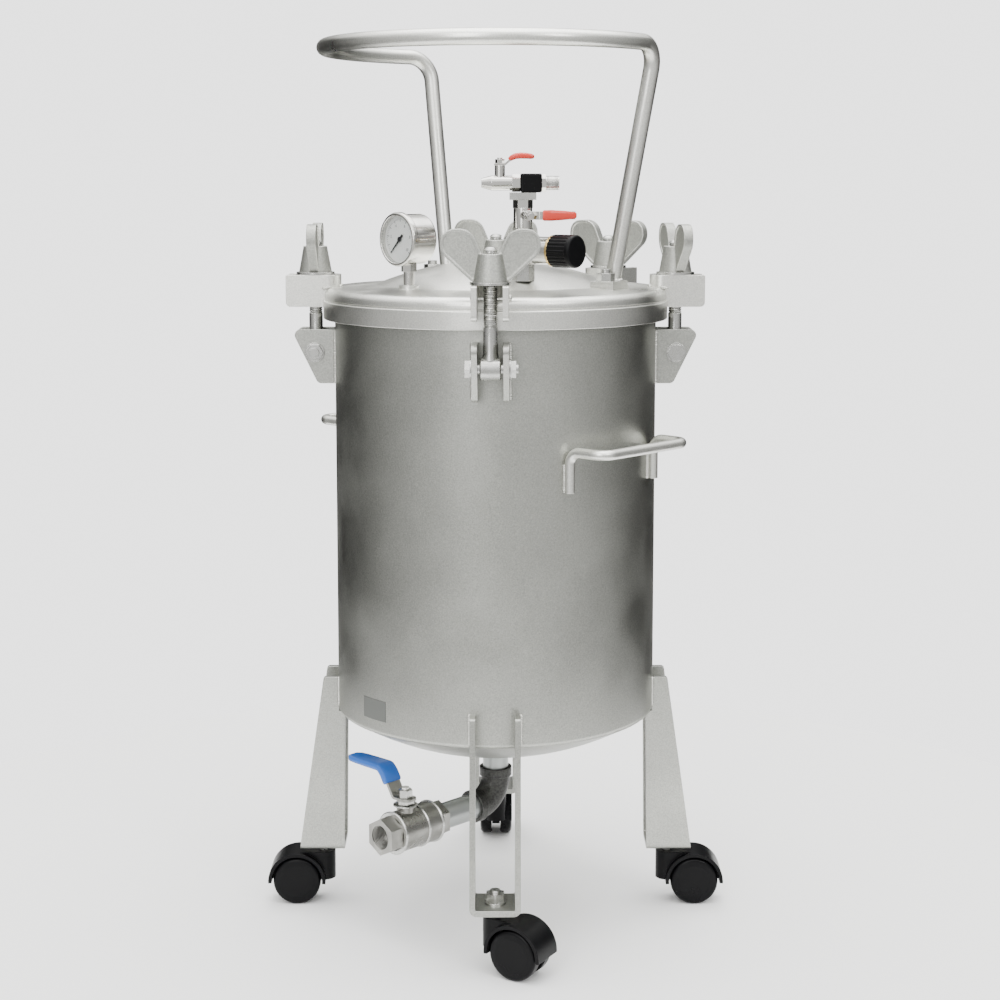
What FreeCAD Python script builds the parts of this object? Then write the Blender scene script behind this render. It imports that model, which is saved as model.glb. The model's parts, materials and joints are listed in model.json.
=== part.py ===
"""Forty-litre resin pressure pot on four castors, with a clamped lid, air fittings and a bottom outlet.

Millimetres. +Z is up, the floor is z = 0 and the tank axis is the Z axis. The front faces -Y.
Azimuths are degrees about +Z from +X, so the right is 0, the back 90, the left 180 and the front 270.
Pieces that repeat round the tank are built along +X and turned to their azimuth.
"""
import FreeCAD, Part
import math
import os

os.makedirs("parts", exist_ok=True)

# Tank
TANK_DIAMETER = 330.0
TANK_WALL = 3.0
TANK_EDGE_HEIGHT = 214.0
TANK_BODY_HEIGHT = 425.0
TANK_EDGE_RADIUS = 5.0
BOTTOM_DISH_DEPTH = 45.0
RIM_WIDTH = 7.0
RIM_HEIGHT = 12.0

# Lid
LID_OVERHANG = 11.5
LID_SKIRT_DROP = 16.0
LID_SKIRT_WALL = 3.0
LID_WALL = 4.0
LID_LIP_INSET = 1.5
LID_LIP_HEIGHT = 10.5
LID_LIP_RADIUS = 8.0
LID_GROOVE_DEPTH = 2.5
LID_GROOVE_WIDTH = 1.5
LID_SHOULDER_WIDTH = 54.5
LID_SHOULDER_RISE = 4.0
LID_DOME_RISE = 24.0
GASKET_THICKNESS = 8.0
GASKET_WIDTH = 17.0
LIP_ABOVE_RIM = 4.0
SEAT_CLEARANCE = 3.0
GAUGE_BOSS_HEIGHT = 2.5

# Lid clamps: swing bolt, washer and wing nut in a lug, pinned between two plates on the tank
CLAMP_AZIMUTHS = {"right": 0.0, "rear_right": 48.0, "back": 90.0, "left": 180.0, "front": 268.7}
WING_TURNS = {"right": 11.0, "rear_right": 7.0, "back": 0.0, "left": 0.0, "front": 0.0}
BOLT_DIAMETER = 14.0
BOLT_TO_SKIRT_GAP = 1.5
BOLT_PIN_DROP = 51.0
BOLT_TIP = 6.5
EYE_RADIUS = 11.0
EYE_WIDTH = 20.0
PIN_DIAMETER = 10.0
PIN_HEAD_DIAMETER = 16.0
PIN_HEAD_HEIGHT = 5.0
PIN_WASHER_DIAMETER = 20.0
PIN_WASHER_THICKNESS = 1.5
RUNNING_FIT = 0.05
CLEVIS_GAP = 24.4
CLEVIS_PLATE = 5.5
CLEVIS_ABOVE_PIN = 23.5
CLEVIS_BELOW_PIN = 32.0
CLEVIS_REACH = 24.0
CLEVIS_FOOT = 17.0
CLEVIS_CORNER_RADIUS = 6.0
LUG_GAP = 24.0
LUG_PLATE = 5.5
LUG_INSIDE_REACH = 26.0
LUG_OUTSIDE_REACH = 29.0
LUG_ABOVE_LIP = 13.5
LUG_HEIGHT = 32.5
LUG_CORNER_RADIUS = 5.0
CLAMP_WASHER_DIAMETER = 39.0
CLAMP_WASHER_THICKNESS = 2.4
CLAMP_WASHER_BORE_GAP = 0.4
FACE_GAP = 0.05
NUT_HEIGHT = 26.5
NUT_BASE_RADIUS = 16.8
NUT_TOP_RADIUS = 12.0
WING_THICKNESS = 9.5
WING_RIM = 2.6
WING_RECESS = 0.8

# Hoop handle on the lid
HOOP_BAR_DIAMETER = 16.0
HOOP_INSET = 3.5
HOOP_RISE = 257.0
HOOP_START_AZIMUTH = -35.0
HOOP_END_AZIMUTH = -237.0
HOOP_BEND_REACH = 26.0
HOOP_FOOT_INSET = 45.5
HOOP_FOOT_AZIMUTHS = (-26.5, 113.5)
HOOP_PLATE_LENGTH = 38.0
HOOP_PLATE_WIDTH = 24.0
HOOP_PLATE_THICKNESS = 4.0
HOOP_STUD_DIAMETER = 10.0
HOOP_STUD_OFFSET = 18.0
HOOP_NUT_FLATS = 16.0
HOOP_NUT_HEIGHT = 8.0
HOOP_STUD_TIP = 4.0
HOOP_PAD_HEIGHT = 2.5

# Side handles
SIDE_HANDLE_AZIMUTHS = (317.0, 137.0)
SIDE_BAR_DIAMETER = 10.0
SIDE_SPREAD = 22.0
SIDE_PROJECTION = 42.0
SIDE_BAR_DROP = 134.0
SIDE_END_LENGTH = 40.0
SIDE_BEND_RADIUS = 12.0

# Legs
LEG_AZIMUTHS = {"right": 0.0, "back": 90.0, "left": 180.0, "front": 270.0}
LEG_WIDTH = 49.4
LEG_THICKNESS = 5.5
LEG_BEND_RADIUS = 7.0
LEG_ABOVE_HOOD = 6.7
LEG_OVERLAP = 35.0
LEG_TOP_REACH = 14.0
LEG_INSET = 8.0
LEG_FOOT_INSET = 6.0
LEG_FOOT_REACH = 41.0
LEG_STEM_REACH = 17.5

# Castors
WHEEL_DIAMETER = 50.0
WHEEL_WIDTH = 13.5
WHEEL_TREAD_RADIUS = 4.0
WHEEL_WEB = 9.0
WHEEL_FACE_RADIUS = 17.0
WHEEL_FACE_RISE = 1.2
WHEEL_HUB_DIAMETER = 31.0
WHEEL_CAP = 2.5
WHEEL_GAP = 0.6
CASTER_TRAIL = 28.0
CASTER_TRAIL_AZIMUTHS = {"right": 0.0, "back": 90.0, "left": 180.0, "front": 330.0}
HOOD_WALL = 3.5
HOOD_CLEARANCE = 1.8
HOOD_FIRST_ANGLE = -3.0
HOOD_LAST_ANGLE = 185.0
SWIVEL_BOSS_RADIUS = 12.0
AXLE_DIAMETER = 8.0
STEM_DIAMETER = 10.0
STEM_ABOVE_PLATE = 13.0
STEM_SOCKET_DEPTH = 12.0
STEM_HOLE_GAP = 0.5
STEM_END_GAP = 0.3
STEM_FLANGE_RADIUS = 9.0
STEM_FLANGE_HEIGHT = 2.0
STEM_NUT_FLATS = 17.0
STEM_NUT_HEIGHT = 8.0
STEM_WASHER_DIAMETER = 21.0
STEM_WASHER_THICKNESS = 2.0

# Bottom outlet
OUTLET_AZIMUTH = 226.0
OUTLET_HEIGHT = 110.0
PIPE_DIAMETER = 26.9
PIPE_BORE = 21.0
SOCKET_DIAMETER = 42.0
SOCKET_BELOW_DISH = 5.0
SOCKET_INTO_TANK = 6.0
NIPPLE_ENGAGEMENT = 9.0
ELBOW_DIAMETER = 30.0
ELBOW_COLLAR_DIAMETER = 34.0
ELBOW_COLLAR_LENGTH = 9.0
ELBOW_REACH = 36.0
ELBOW_ENGAGEMENT = 12.0
VALVE_LENGTH = 82.0
VALVE_MOUTH_REACH = 166.0
VALVE_HEX = 33.0
VALVE_HEX_LENGTH = 18.0
VALVE_BACK_HEX_LENGTH = 11.0
VALVE_STEM_TO_MOUTH = 35.0
VALVE_PORT = 21.0
VALVE_BALL_BORE = 18.0
VALVE_MOUTH_START = 16.0
VALVE_BODY_DIAMETER = 41.0
VALVE_ENGAGEMENT = 12.0
VALVE_MOUTH_BORE = 24.1
VALVE_BALL_DIAMETER = 30.0
VALVE_NECK_DIAMETER = 18.0
VALVE_NECK_TOP = 31.0
VALVE_STEM_DIAMETER = 8.0
VALVE_STEM_NUT_FLATS = 13.0
VALVE_STEM_NUT_HEIGHT = 8.0
VALVE_GLAND_FLATS = 16.0
VALVE_GLAND_HEIGHT = 4.0
LEVER_THICKNESS = 2.5
LEVER_WIDTH = 17.0
LEVER_LENGTH = 78.0
LEVER_FLAT = 11.0
LEVER_RISE = 27.0
LEVER_SLOPE_RUN = 17.0
LEVER_BEND_RADIUS = 3.0
GRIP_WALL = 2.6
GRIP_FROM_BEND = 8.0

# Air fittings on the lid
AIR_X = 27.0
AIR_INSET = 84.5
AIR_NIPPLE_FLATS = 20.0
REGULATOR_FLOOR_RISE = 43.0
REGULATOR_HEIGHT = 27.0
REGULATOR_DIAMETER = 36.0
REGULATOR_AZIMUTH = 323.0
BONNET_DIAMETER = 27.0
BONNET_REACH = 36.0
BRASS_RING_DIAMETER = 30.0
BRASS_RING_LENGTH = 3.0
KNOB_DIAMETER = 32.0
KNOB_LENGTH = 26.0
KNOB_RIBS = 24
KNOB_RIB_DEPTH = 0.7
SUPPLY_VALVE_HEX = 17.0
SUPPLY_VALVE_HEX_LENGTH = 8.0
SUPPLY_VALVE_DIAMETER = 18.5
SUPPLY_VALVE_LENGTH = 35.5
SUPPLY_STEM_AZIMUTH = 288.0
SUPPLY_STEM_RISE = 20.5
SMALL_STEM_DIAMETER = 5.0
SMALL_NECK_DIAMETER = 10.0
SMALL_NECK_REACH = 17.0
SMALL_LEVER_THICKNESS = 2.0
SMALL_LEVER_LENGTH = 46.0
SMALL_LEVER_WIDTH = 8.0
SMALL_LEVER_RISE = 4.0
SMALL_GRIP_WIDTH = 9.0
SMALL_GRIP_START = 14.0
SMALL_NUT_FLATS = 8.0
SMALL_NUT_HEIGHT = 4.0
SMALL_STEM_START = 8.0
SMALL_STEM_TIP = 1.5
TEE_BASE_SIZE = (26.0, 18.0, 7.0)
TEE_BLOCK_SIZE = (21.0, 21.0, 18.5)
TEE_BLOCK_SHIFT = 8.0
AIR_BORE = 6.0
AIR_INLET_DIAMETER = 13.16
AIR_INLET_LENGTH = 13.0
AIR_INLET_FLANGE = 4.0
AIR_VALVE_HEX = 15.0
AIR_VALVE_HEX_LENGTH = 8.0
AIR_STEM_FROM_HEX = 12.0
AIR_VALVE_DIAMETER = 14.5
AIR_VALVE_LENGTH = 28.0
BARB_LENGTH = 10.0
BARB_DIAMETER = 9.0
AIR_NECK_RISE = 17.0
AIR_LEVER_LENGTH = 32.0
AIR_LEVER_RISE = 8.0

# Pressure gauge
GAUGE_AZIMUTH = 225.0
GAUGE_INSET = 56.5
GAUGE_RISE = 67.0
GAUGE_FACING = 223.0
GAUGE_DIAMETER = 53.0
GAUGE_DEPTH = 33.0
GAUGE_BEZEL_WIDTH = 3.2
GAUGE_BEZEL_DEPTH = 7.0
GAUGE_DIAL_BACK = 6.0
GAUGE_DIAL_THICKNESS = 0.8
GAUGE_GLASS_THICKNESS = 1.6
GAUGE_STEM_HEX = 14.0
GAUGE_STEM_HEX_HEIGHT = 8.0
GAUGE_NECK_DIAMETER = 11.0
GAUGE_BOSS_DIAMETER = 20.0
NEEDLE_LENGTH = 19.0
NEEDLE_TAIL = 6.0
NEEDLE_THICKNESS = 0.6
NEEDLE_START_ANGLE = 135.0

ORIGIN = FreeCAD.Vector(0, 0, 0)
UP = FreeCAD.Vector(0, 0, 1)
ALONG_X = FreeCAD.Vector(1, 0, 0)
ALONG_Y = FreeCAD.Vector(0, 1, 0)
FAR = 1000.0

# Places that follow from the sizes above
TANK_RADIUS = TANK_DIAMETER / 2
RIM_TOP = TANK_EDGE_HEIGHT + TANK_BODY_HEIGHT
DISH_LOW = TANK_EDGE_HEIGHT - BOTTOM_DISH_DEPTH
LID_RADIUS = TANK_RADIUS + LID_OVERHANG
LIP_RADIUS = LID_RADIUS - LID_LIP_INSET
SKIRT_BOTTOM = RIM_TOP - LID_SKIRT_DROP
GASKET_TOP = RIM_TOP + GASKET_THICKNESS
LIP_BOTTOM = RIM_TOP + LIP_ABOVE_RIM
LIP_TOP = LIP_BOTTOM + LID_LIP_HEIGHT
DOME_RADIUS = LID_RADIUS - LID_SHOULDER_WIDTH
SHOULDER_TOP = LIP_TOP + LID_SHOULDER_RISE
DOME_TOP = SHOULDER_TOP + LID_DOME_RISE
HOOP_RADIUS = LID_RADIUS - HOOP_INSET
HOOP_HEIGHT = RIM_TOP + HOOP_RISE
HOOP_FOOT_RADIUS = LID_RADIUS - HOOP_FOOT_INSET
AIR_Y = AIR_INSET - LID_RADIUS
REGULATOR_FLOOR = RIM_TOP + REGULATOR_FLOOR_RISE
REGULATOR_TOP = REGULATOR_FLOOR + REGULATOR_HEIGHT
GAUGE_REACH = LID_RADIUS - GAUGE_INSET
GAUGE_HEIGHT = RIM_TOP + GAUGE_RISE
BOLT_CIRCLE = LID_RADIUS + BOLT_TO_SKIRT_GAP + BOLT_DIAMETER / 2
PIN_HEIGHT = RIM_TOP - BOLT_PIN_DROP
LUG_TOP = LIP_TOP + LUG_ABOVE_LIP
CLAMP_WASHER_BOTTOM = LUG_TOP + FACE_GAP
NUT_BOTTOM = CLAMP_WASHER_BOTTOM + CLAMP_WASHER_THICKNESS + FACE_GAP
BOLT_TOP = NUT_BOTTOM + NUT_HEIGHT + BOLT_TIP
STEM_CIRCLE = TANK_RADIUS + LEG_STEM_REACH
WHEEL_RADIUS = WHEEL_DIAMETER / 2
HOOD_INNER = WHEEL_RADIUS + HOOD_CLEARANCE
HOOD_OUTER = HOOD_INNER + HOOD_WALL
HOOD_TOP = WHEEL_RADIUS + HOOD_OUTER
LEG_BASE_HEIGHT = HOOD_TOP + LEG_ABOVE_HOOD
SOCKET_BOTTOM = DISH_LOW - SOCKET_BELOW_DISH
VALVE_BACK_REACH = VALVE_MOUTH_REACH - VALVE_LENGTH
VALVE_STEM_REACH = VALVE_MOUTH_REACH - VALVE_STEM_TO_MOUTH
LEVER_BOTTOM = OUTLET_HEIGHT + VALVE_NECK_TOP


def point(x, y, z):
    """Point or direction from its three parts."""
    return FreeCAD.Vector(x, y, z)


def heading(azimuth):
    """Level unit direction at an azimuth."""
    return point(math.cos(math.radians(azimuth)), math.sin(math.radians(azimuth)), 0)


def at_azimuth(shape, azimuth):
    """Turn a shape built along +X round the tank axis."""
    turned = shape.copy()
    turned.rotate(ORIGIN, UP, azimuth)
    return turned


def placed(shape, start, direction=UP):
    """Move a shape built up +Z from the origin to start at a point and run in a direction."""
    moved = shape.copy()
    moved.Placement = FreeCAD.Placement(start, FreeCAD.Rotation(UP, direction)) * moved.Placement
    return moved


def level_frame(shape, start, azimuth):
    """Turn a shape by an azimuth about the origin, then move its origin to a point."""
    moved = shape.copy()
    moved.Placement = FreeCAD.Placement(start, FreeCAD.Rotation(UP, azimuth)) * moved.Placement
    return moved


def framed(shape, start, along_x, along_y, along_z):
    """Move a shape from the origin's frame to the frame of three unit directions at a point."""
    matrix = FreeCAD.Matrix(
        along_x.x, along_y.x, along_z.x, start.x,
        along_x.y, along_y.y, along_z.y, start.y,
        along_x.z, along_y.z, along_z.z, start.z,
        0, 0, 0, 1)
    moved = shape.copy()
    moved.Placement = FreeCAD.Placement(matrix) * moved.Placement
    return moved


def rod(diameter, start, end):
    """Round bar between two points."""
    along = end - start
    return Part.makeCylinder(diameter / 2, along.Length, start, along)


def hex_rod(flats, start, end):
    """Hexagonal bar between two points."""
    along = end - start
    radius = flats / math.sqrt(3)
    corners = [heading(60 * side) * radius for side in range(7)]
    bar = Part.Face(Part.makePolygon(corners)).extrude(UP * along.Length)
    return placed(bar, start, along)


def block(size, centre_x, centre_y, bottom):
    """Box of a size, centred in plan, standing on a height."""
    length, width, height = size
    return Part.makeBox(length, width, height, point(centre_x - length / 2, centre_y - width / 2, bottom))


def rounded_edges(corners, radii, closed):
    """Straight runs through the corners, each corner replaced by a tangent arc of its radius."""
    count = len(corners)
    turns = []
    for index, (corner, radius) in enumerate(zip(corners, radii)):
        is_end = not closed and index in (0, count - 1)
        if is_end or radius == 0:
            turns.append((corner, corner, corner))
            continue
        back = (corners[index - 1] - corner).normalize()
        ahead = (corners[(index + 1) % count] - corner).normalize()
        half_angle = back.getAngle(ahead) / 2
        reach = radius / math.tan(half_angle)
        inward = (back + ahead).normalize()
        middle = corner + inward * (radius / math.sin(half_angle) - radius)
        turns.append((corner + back * reach, middle, corner + ahead * reach))
    edges = []
    for index, (start, middle, end) in enumerate(turns):
        if not start.isEqual(end, 1e-6):
            edges.append(Part.Arc(start, middle, end).toShape())
        if closed or index < count - 1:
            following = turns[(index + 1) % count][0]
            if not end.isEqual(following, 1e-6):
                edges.append(Part.makeLine(end, following))
    return edges


def rounded_face(corners, plane):
    """Face whose corners are (a, b, rounding radius) in the plane XY, XZ or YZ."""
    to_point = {
        "XY": lambda a, b: point(a, b, 0),
        "XZ": lambda a, b: point(a, 0, b),
        "YZ": lambda a, b: point(0, a, b),
    }[plane]
    points = [to_point(a, b) for a, b, _ in corners]
    radii = [radius for _, _, radius in corners]
    return Part.Face(Part.Wire(rounded_edges(points, radii, True)))


def plate(corners, plane, thickness, middle=0.0):
    """Plate with a rounded outline in the plane, centred on the distance middle across it."""
    across = {"XY": UP, "XZ": ALONG_Y, "YZ": ALONG_X}[plane]
    solid = rounded_face(corners, plane).extrude(across * thickness)
    solid.translate(across * (middle - thickness / 2))
    return solid


def spun(corners):
    """Solid of revolution about Z from a rounded outline in the XZ plane."""
    return rounded_face(corners, "XZ").revolve(ORIGIN, UP, 360)


def swept_bar(diameter, edges, start, direction):
    """Round bar along a path of tangent edges that sets out from a point in a direction."""
    circle = Part.Wire(Part.makeCircle(diameter / 2, start, direction))
    return Part.Wire(edges).makePipeShell([circle], True, True)


def sagitta(chord_radius, rise, distance):
    """Drop below the crown, at a distance from its axis, of a dome of that rise and radius."""
    sphere = (chord_radius ** 2 + rise ** 2) / (2 * rise)
    return sphere - math.sqrt(sphere ** 2 - distance ** 2)


def domed_solid(edges_from_rim, crown, rim, rise):
    """Solid of revolution closed by a dome arc between a rim point and its crown on the axis."""
    half = rim.x / 2
    side = 1 if crown.z > rim.z else -1
    middle = point(half, 0, crown.z - side * sagitta(rim.x, rise, half))
    dome = Part.Arc(crown, middle, rim).toShape()
    return Part.Face(Part.Wire([dome] + edges_from_rim)).revolve(ORIGIN, UP, 360)


def joined(first, *others):
    """One solid made of several that touch or overlap."""
    return first.fuse(list(others)).removeSplitter()


def export(name, *solids):
    """Write one node: a single solid, or a group of separate ones."""
    shape = solids[0] if len(solids) == 1 else Part.makeCompound(list(solids))
    shape.exportStep("parts/" + name + ".step")


def lid_height_at(distance):
    """Height of the lid's upper face at a distance from the tank axis, on the dome."""
    return DOME_TOP - sagitta(DOME_RADIUS, LID_DOME_RISE, distance)


# ---- Tank ----

def vessel(radius, corner, edge_height, low, top):
    """Closed can with a dished bottom, a rounded lower edge and a flat top."""
    crown = point(0, 0, low)
    dish_rim = point(radius - corner, 0, edge_height)
    bulge = corner * math.sqrt(0.5)
    knuckle_middle = point(radius - corner + bulge, 0, edge_height + corner - bulge)
    wall_start = point(radius, 0, edge_height + corner)
    edges = [
        Part.Arc(dish_rim, knuckle_middle, wall_start).toShape(),
        Part.makeLine(wall_start, point(radius, 0, top)),
        Part.makeLine(point(radius, 0, top), point(0, 0, top)),
        Part.makeLine(point(0, 0, top), crown),
    ]
    return domed_solid(edges, crown, dish_rim, edge_height - low)


def tank_envelope():
    """The tank's outside, filled in."""
    return vessel(TANK_RADIUS, TANK_EDGE_RADIUS, TANK_EDGE_HEIGHT, DISH_LOW, RIM_TOP)


def tank_shell():
    """Open tank with its rim bead and the threaded socket in the bottom."""
    inside = vessel(TANK_RADIUS - TANK_WALL, TANK_EDGE_RADIUS - TANK_WALL, TANK_EDGE_HEIGHT + TANK_WALL,
                    DISH_LOW + TANK_WALL, RIM_TOP + 1)
    inner = TANK_RADIUS - TANK_WALL
    rim = spun([
        (inner, RIM_TOP - RIM_HEIGHT, 0),
        (TANK_RADIUS + RIM_WIDTH, RIM_TOP - RIM_HEIGHT, 3),
        (TANK_RADIUS + RIM_WIDTH, RIM_TOP, 3),
        (inner, RIM_TOP, 0),
    ])
    socket = rod(SOCKET_DIAMETER, point(0, 0, SOCKET_BOTTOM), point(0, 0, DISH_LOW + SOCKET_INTO_TANK))
    shell = joined(tank_envelope().cut(inside), rim, socket)
    bore = rod(PIPE_BORE, point(0, 0, 0), point(0, 0, TANK_EDGE_HEIGHT))
    seat = rod(PIPE_DIAMETER, point(0, 0, 0), point(0, 0, SOCKET_BOTTOM + NIPPLE_ENGAGEMENT))
    return shell.cut(bore).cut(seat)


# ---- Lid ----

def lid_envelope():
    """The lid's outside, filled in down to the skirt's lower edge."""
    rim = point(DOME_RADIUS, 0, SHOULDER_TOP)
    groove_top = LIP_BOTTOM
    groove_bottom = groove_top - LID_GROOVE_WIDTH
    outline = rounded_edges([
        rim,
        point(LIP_RADIUS, 0, LIP_TOP),
        point(LIP_RADIUS, 0, groove_top),
        point(LID_RADIUS - LID_GROOVE_DEPTH, 0, groove_top),
        point(LID_RADIUS - LID_GROOVE_DEPTH, 0, groove_bottom),
        point(LID_RADIUS, 0, groove_bottom),
        point(LID_RADIUS, 0, SKIRT_BOTTOM),
        point(0, 0, SKIRT_BOTTOM),
        point(0, 0, DOME_TOP),
    ], [0, LID_LIP_RADIUS, 0.6, 0, 0, 1.2, 1.0, 0, 0], False)
    return domed_solid(outline, point(0, 0, DOME_TOP), rim, LID_DOME_RISE)


def lid_shell():
    """Domed lid with a skirt round the tank's rim and a seat for the gasket."""
    rim = point(DOME_RADIUS, 0, SHOULDER_TOP - LID_WALL)
    skirt_inner = LID_RADIUS - LID_SKIRT_WALL
    seat_inner = skirt_inner - GASKET_WIDTH - SEAT_CLEARANCE
    hollow_outline = rounded_edges([
        rim,
        point(seat_inner, 0, SHOULDER_TOP - LID_WALL),
        point(seat_inner, 0, GASKET_TOP),
        point(skirt_inner, 0, GASKET_TOP),
        point(skirt_inner, 0, SKIRT_BOTTOM - 1),
        point(0, 0, SKIRT_BOTTOM - 1),
        point(0, 0, DOME_TOP - LID_WALL),
    ], [0] * 7, False)
    hollow = domed_solid(hollow_outline, point(0, 0, DOME_TOP - LID_WALL), rim, LID_DOME_RISE)
    gauge_base = heading(GAUGE_AZIMUTH) * GAUGE_REACH
    gauge_boss = rod(GAUGE_BOSS_DIAMETER, gauge_base + UP * (lid_height_at(GAUGE_REACH) - 3),
                     gauge_base + UP * (lid_height_at(GAUGE_REACH) + GAUGE_BOSS_HEIGHT))
    air_port = rod(AIR_BORE, point(AIR_X, AIR_Y, SHOULDER_TOP - LID_WALL), point(AIR_X, AIR_Y, FAR))
    shell = lid_envelope().cut(hollow)
    pads = [hoop_pad(azimuth) for azimuth in HOOP_FOOT_AZIMUTHS]
    return joined(shell, gauge_boss, *pads).cut(air_port)


def lid_gasket():
    """Flat rubber ring between the tank's rim and the lid."""
    outer = LID_RADIUS - LID_SKIRT_WALL
    return spun([
        (outer - GASKET_WIDTH, RIM_TOP, 1),
        (outer, RIM_TOP, 1),
        (outer, GASKET_TOP, 0),
        (outer - GASKET_WIDTH, GASKET_TOP, 0),
    ])


def lid_lug():
    """Bar bent to a U in plan, with its arms either side of the swing bolt, notched over the lid."""
    outer = LUG_GAP / 2 + LUG_PLATE
    inside = BOLT_CIRCLE - LUG_INSIDE_REACH
    outside = BOLT_CIRCLE + LUG_OUTSIDE_REACH
    bottom = LUG_TOP - LUG_HEIGHT
    rounding = LUG_GAP / 2
    bar = plate([
        (inside, -outer, rounding),
        (outside, -outer, 0),
        (outside, -outer + LUG_PLATE, 0),
        (inside + LUG_PLATE, -outer + LUG_PLATE, rounding - LUG_PLATE),
        (inside + LUG_PLATE, outer - LUG_PLATE, rounding - LUG_PLATE),
        (outside, outer - LUG_PLATE, 0),
        (outside, outer, 0),
        (inside, outer, rounding),
    ], "XY", LUG_HEIGHT, bottom + LUG_HEIGHT / 2)
    side = plate([
        (inside, bottom, 0),
        (outside, bottom, LUG_CORNER_RADIUS),
        (outside, LUG_TOP, 1.5),
        (inside, LUG_TOP, 0),
    ], "XZ", 2 * outer)
    return bar.common(side).cut(lid_envelope())


# ---- Clamps, built along +X ----

def clevis_plate(side):
    """One of the two plates on the tank that hold the swing bolt's pin."""
    top = PIN_HEIGHT + CLEVIS_ABOVE_PIN
    bottom = PIN_HEIGHT - CLEVIS_BELOW_PIN
    tip = BOLT_CIRCLE + CLEVIS_REACH
    middle = side * (CLEVIS_GAP + CLEVIS_PLATE) / 2
    body = plate([
        (TANK_RADIUS - CLEVIS_PLATE, bottom, 0),
        (TANK_RADIUS + CLEVIS_FOOT, bottom, CLEVIS_CORNER_RADIUS),
        (tip, top, CLEVIS_CORNER_RADIUS),
        (TANK_RADIUS - CLEVIS_PLATE, top, 0),
    ], "XZ", CLEVIS_PLATE, middle)
    hole = rod(PIN_DIAMETER, point(BOLT_CIRCLE, -FAR, PIN_HEIGHT), point(BOLT_CIRCLE, FAR, PIN_HEIGHT))
    return body.cut(tank_envelope()).cut(hole)


def clevis_pin():
    """Bolt through the two plates and the eye, with its washers and nut."""
    face = CLEVIS_GAP / 2 + CLEVIS_PLATE
    head = face + PIN_WASHER_THICKNESS
    end = head + PIN_HEAD_HEIGHT

    def across(distance):
        return point(BOLT_CIRCLE, distance, PIN_HEIGHT)

    shank = rod(PIN_DIAMETER, across(-head), across(end + 2))
    return [
        joined(shank, hex_rod(PIN_HEAD_DIAMETER, across(-end), across(-head))),
        rod(PIN_WASHER_DIAMETER, across(-head), across(-face)).cut(shank),
        rod(PIN_WASHER_DIAMETER, across(face), across(head)).cut(shank),
        hex_rod(PIN_HEAD_DIAMETER, across(head), across(end)).cut(shank),
    ]


def swing_bolt():
    """Eye bolt that swings about the clevis pin."""
    half = EYE_WIDTH / 2
    eye = rod(2 * EYE_RADIUS, point(BOLT_CIRCLE, -half, PIN_HEIGHT), point(BOLT_CIRCLE, half, PIN_HEIGHT))
    shank = rod(BOLT_DIAMETER, point(BOLT_CIRCLE, 0, PIN_HEIGHT), point(BOLT_CIRCLE, 0, BOLT_TOP))
    hole = rod(PIN_DIAMETER + 2 * RUNNING_FIT, point(BOLT_CIRCLE, -FAR, PIN_HEIGHT),
               point(BOLT_CIRCLE, FAR, PIN_HEIGHT))
    return joined(eye, shank).cut(hole)


def clamp_washer():
    """Washer that bears on the lug's arms."""
    bottom = point(BOLT_CIRCLE, 0, CLAMP_WASHER_BOTTOM)
    top = bottom + UP * CLAMP_WASHER_THICKNESS
    bore = BOLT_DIAMETER + 2 * CLAMP_WASHER_BORE_GAP
    return rod(CLAMP_WASHER_DIAMETER, bottom, top).cut(rod(bore, bottom, top))


def wing_outline():
    """Corners of one egg-shaped wing, out along Y and up from the nut's base."""
    return [(6, 1, 0), (18, 1, 4), (48, 29, 16), (45, 49, 13), (18, 50, 17), (7, 24, 0)]


def wing_nut(turn):
    """Wing nut with its wings along Y, turned by an angle about its own axis."""
    hub = Part.makeCone(NUT_BASE_RADIUS, NUT_TOP_RADIUS, NUT_HEIGHT)
    face = rounded_face(wing_outline(), "YZ")
    wing = face.extrude(ALONG_X * WING_THICKNESS)
    wing.translate(ALONG_X * (-WING_THICKNESS / 2))
    recess_face = face.makeOffset2D(-WING_RIM)
    recess = recess_face.extrude(ALONG_X * WING_THICKNESS)
    for side in (-1, 1):
        cutter = recess.copy()
        cutter.translate(ALONG_X * (side * (WING_THICKNESS - WING_RECESS) - WING_THICKNESS / 2))
        wing = wing.cut(cutter)
    other = wing.copy()
    other.rotate(ORIGIN, UP, 180)
    body = joined(hub, wing, other)
    bore = rod(BOLT_DIAMETER + 2 * RUNNING_FIT, point(0, 0, -1), point(0, 0, FAR))
    return level_frame(body.cut(bore), point(BOLT_CIRCLE, 0, NUT_BOTTOM), turn)


# ---- Hoop handle ----

def hoop_foot_point(azimuth):
    """Where a leg of the hoop meets the upper face of its foot plate."""
    height = SHOULDER_TOP + HOOP_PAD_HEIGHT + HOOP_PLATE_THICKNESS
    return heading(azimuth) * HOOP_FOOT_RADIUS + UP * height


def hoop_side(azimuth):
    """Direction from a hoop leg to its stud: under the hoop's arc, level."""
    if azimuth == HOOP_FOOT_AZIMUTHS[0]:
        return heading(azimuth - 90)
    return heading(azimuth + 90)


def hoop_plate_block(azimuth, bottom, height):
    """Upright block under a hoop leg and its stud."""
    centre = hoop_foot_point(azimuth) + hoop_side(azimuth) * (HOOP_STUD_OFFSET / 2)
    flat = block((HOOP_PLATE_WIDTH, HOOP_PLATE_LENGTH, height), 0, 0, 0)
    return level_frame(flat, point(centre.x, centre.y, bottom), azimuth)


def hoop_pad(azimuth):
    """Low pad on the lid, which the foot plate is bolted to."""
    return hoop_plate_block(azimuth, SHOULDER_TOP - LID_WALL, LID_WALL + HOOP_PAD_HEIGHT)


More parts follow.
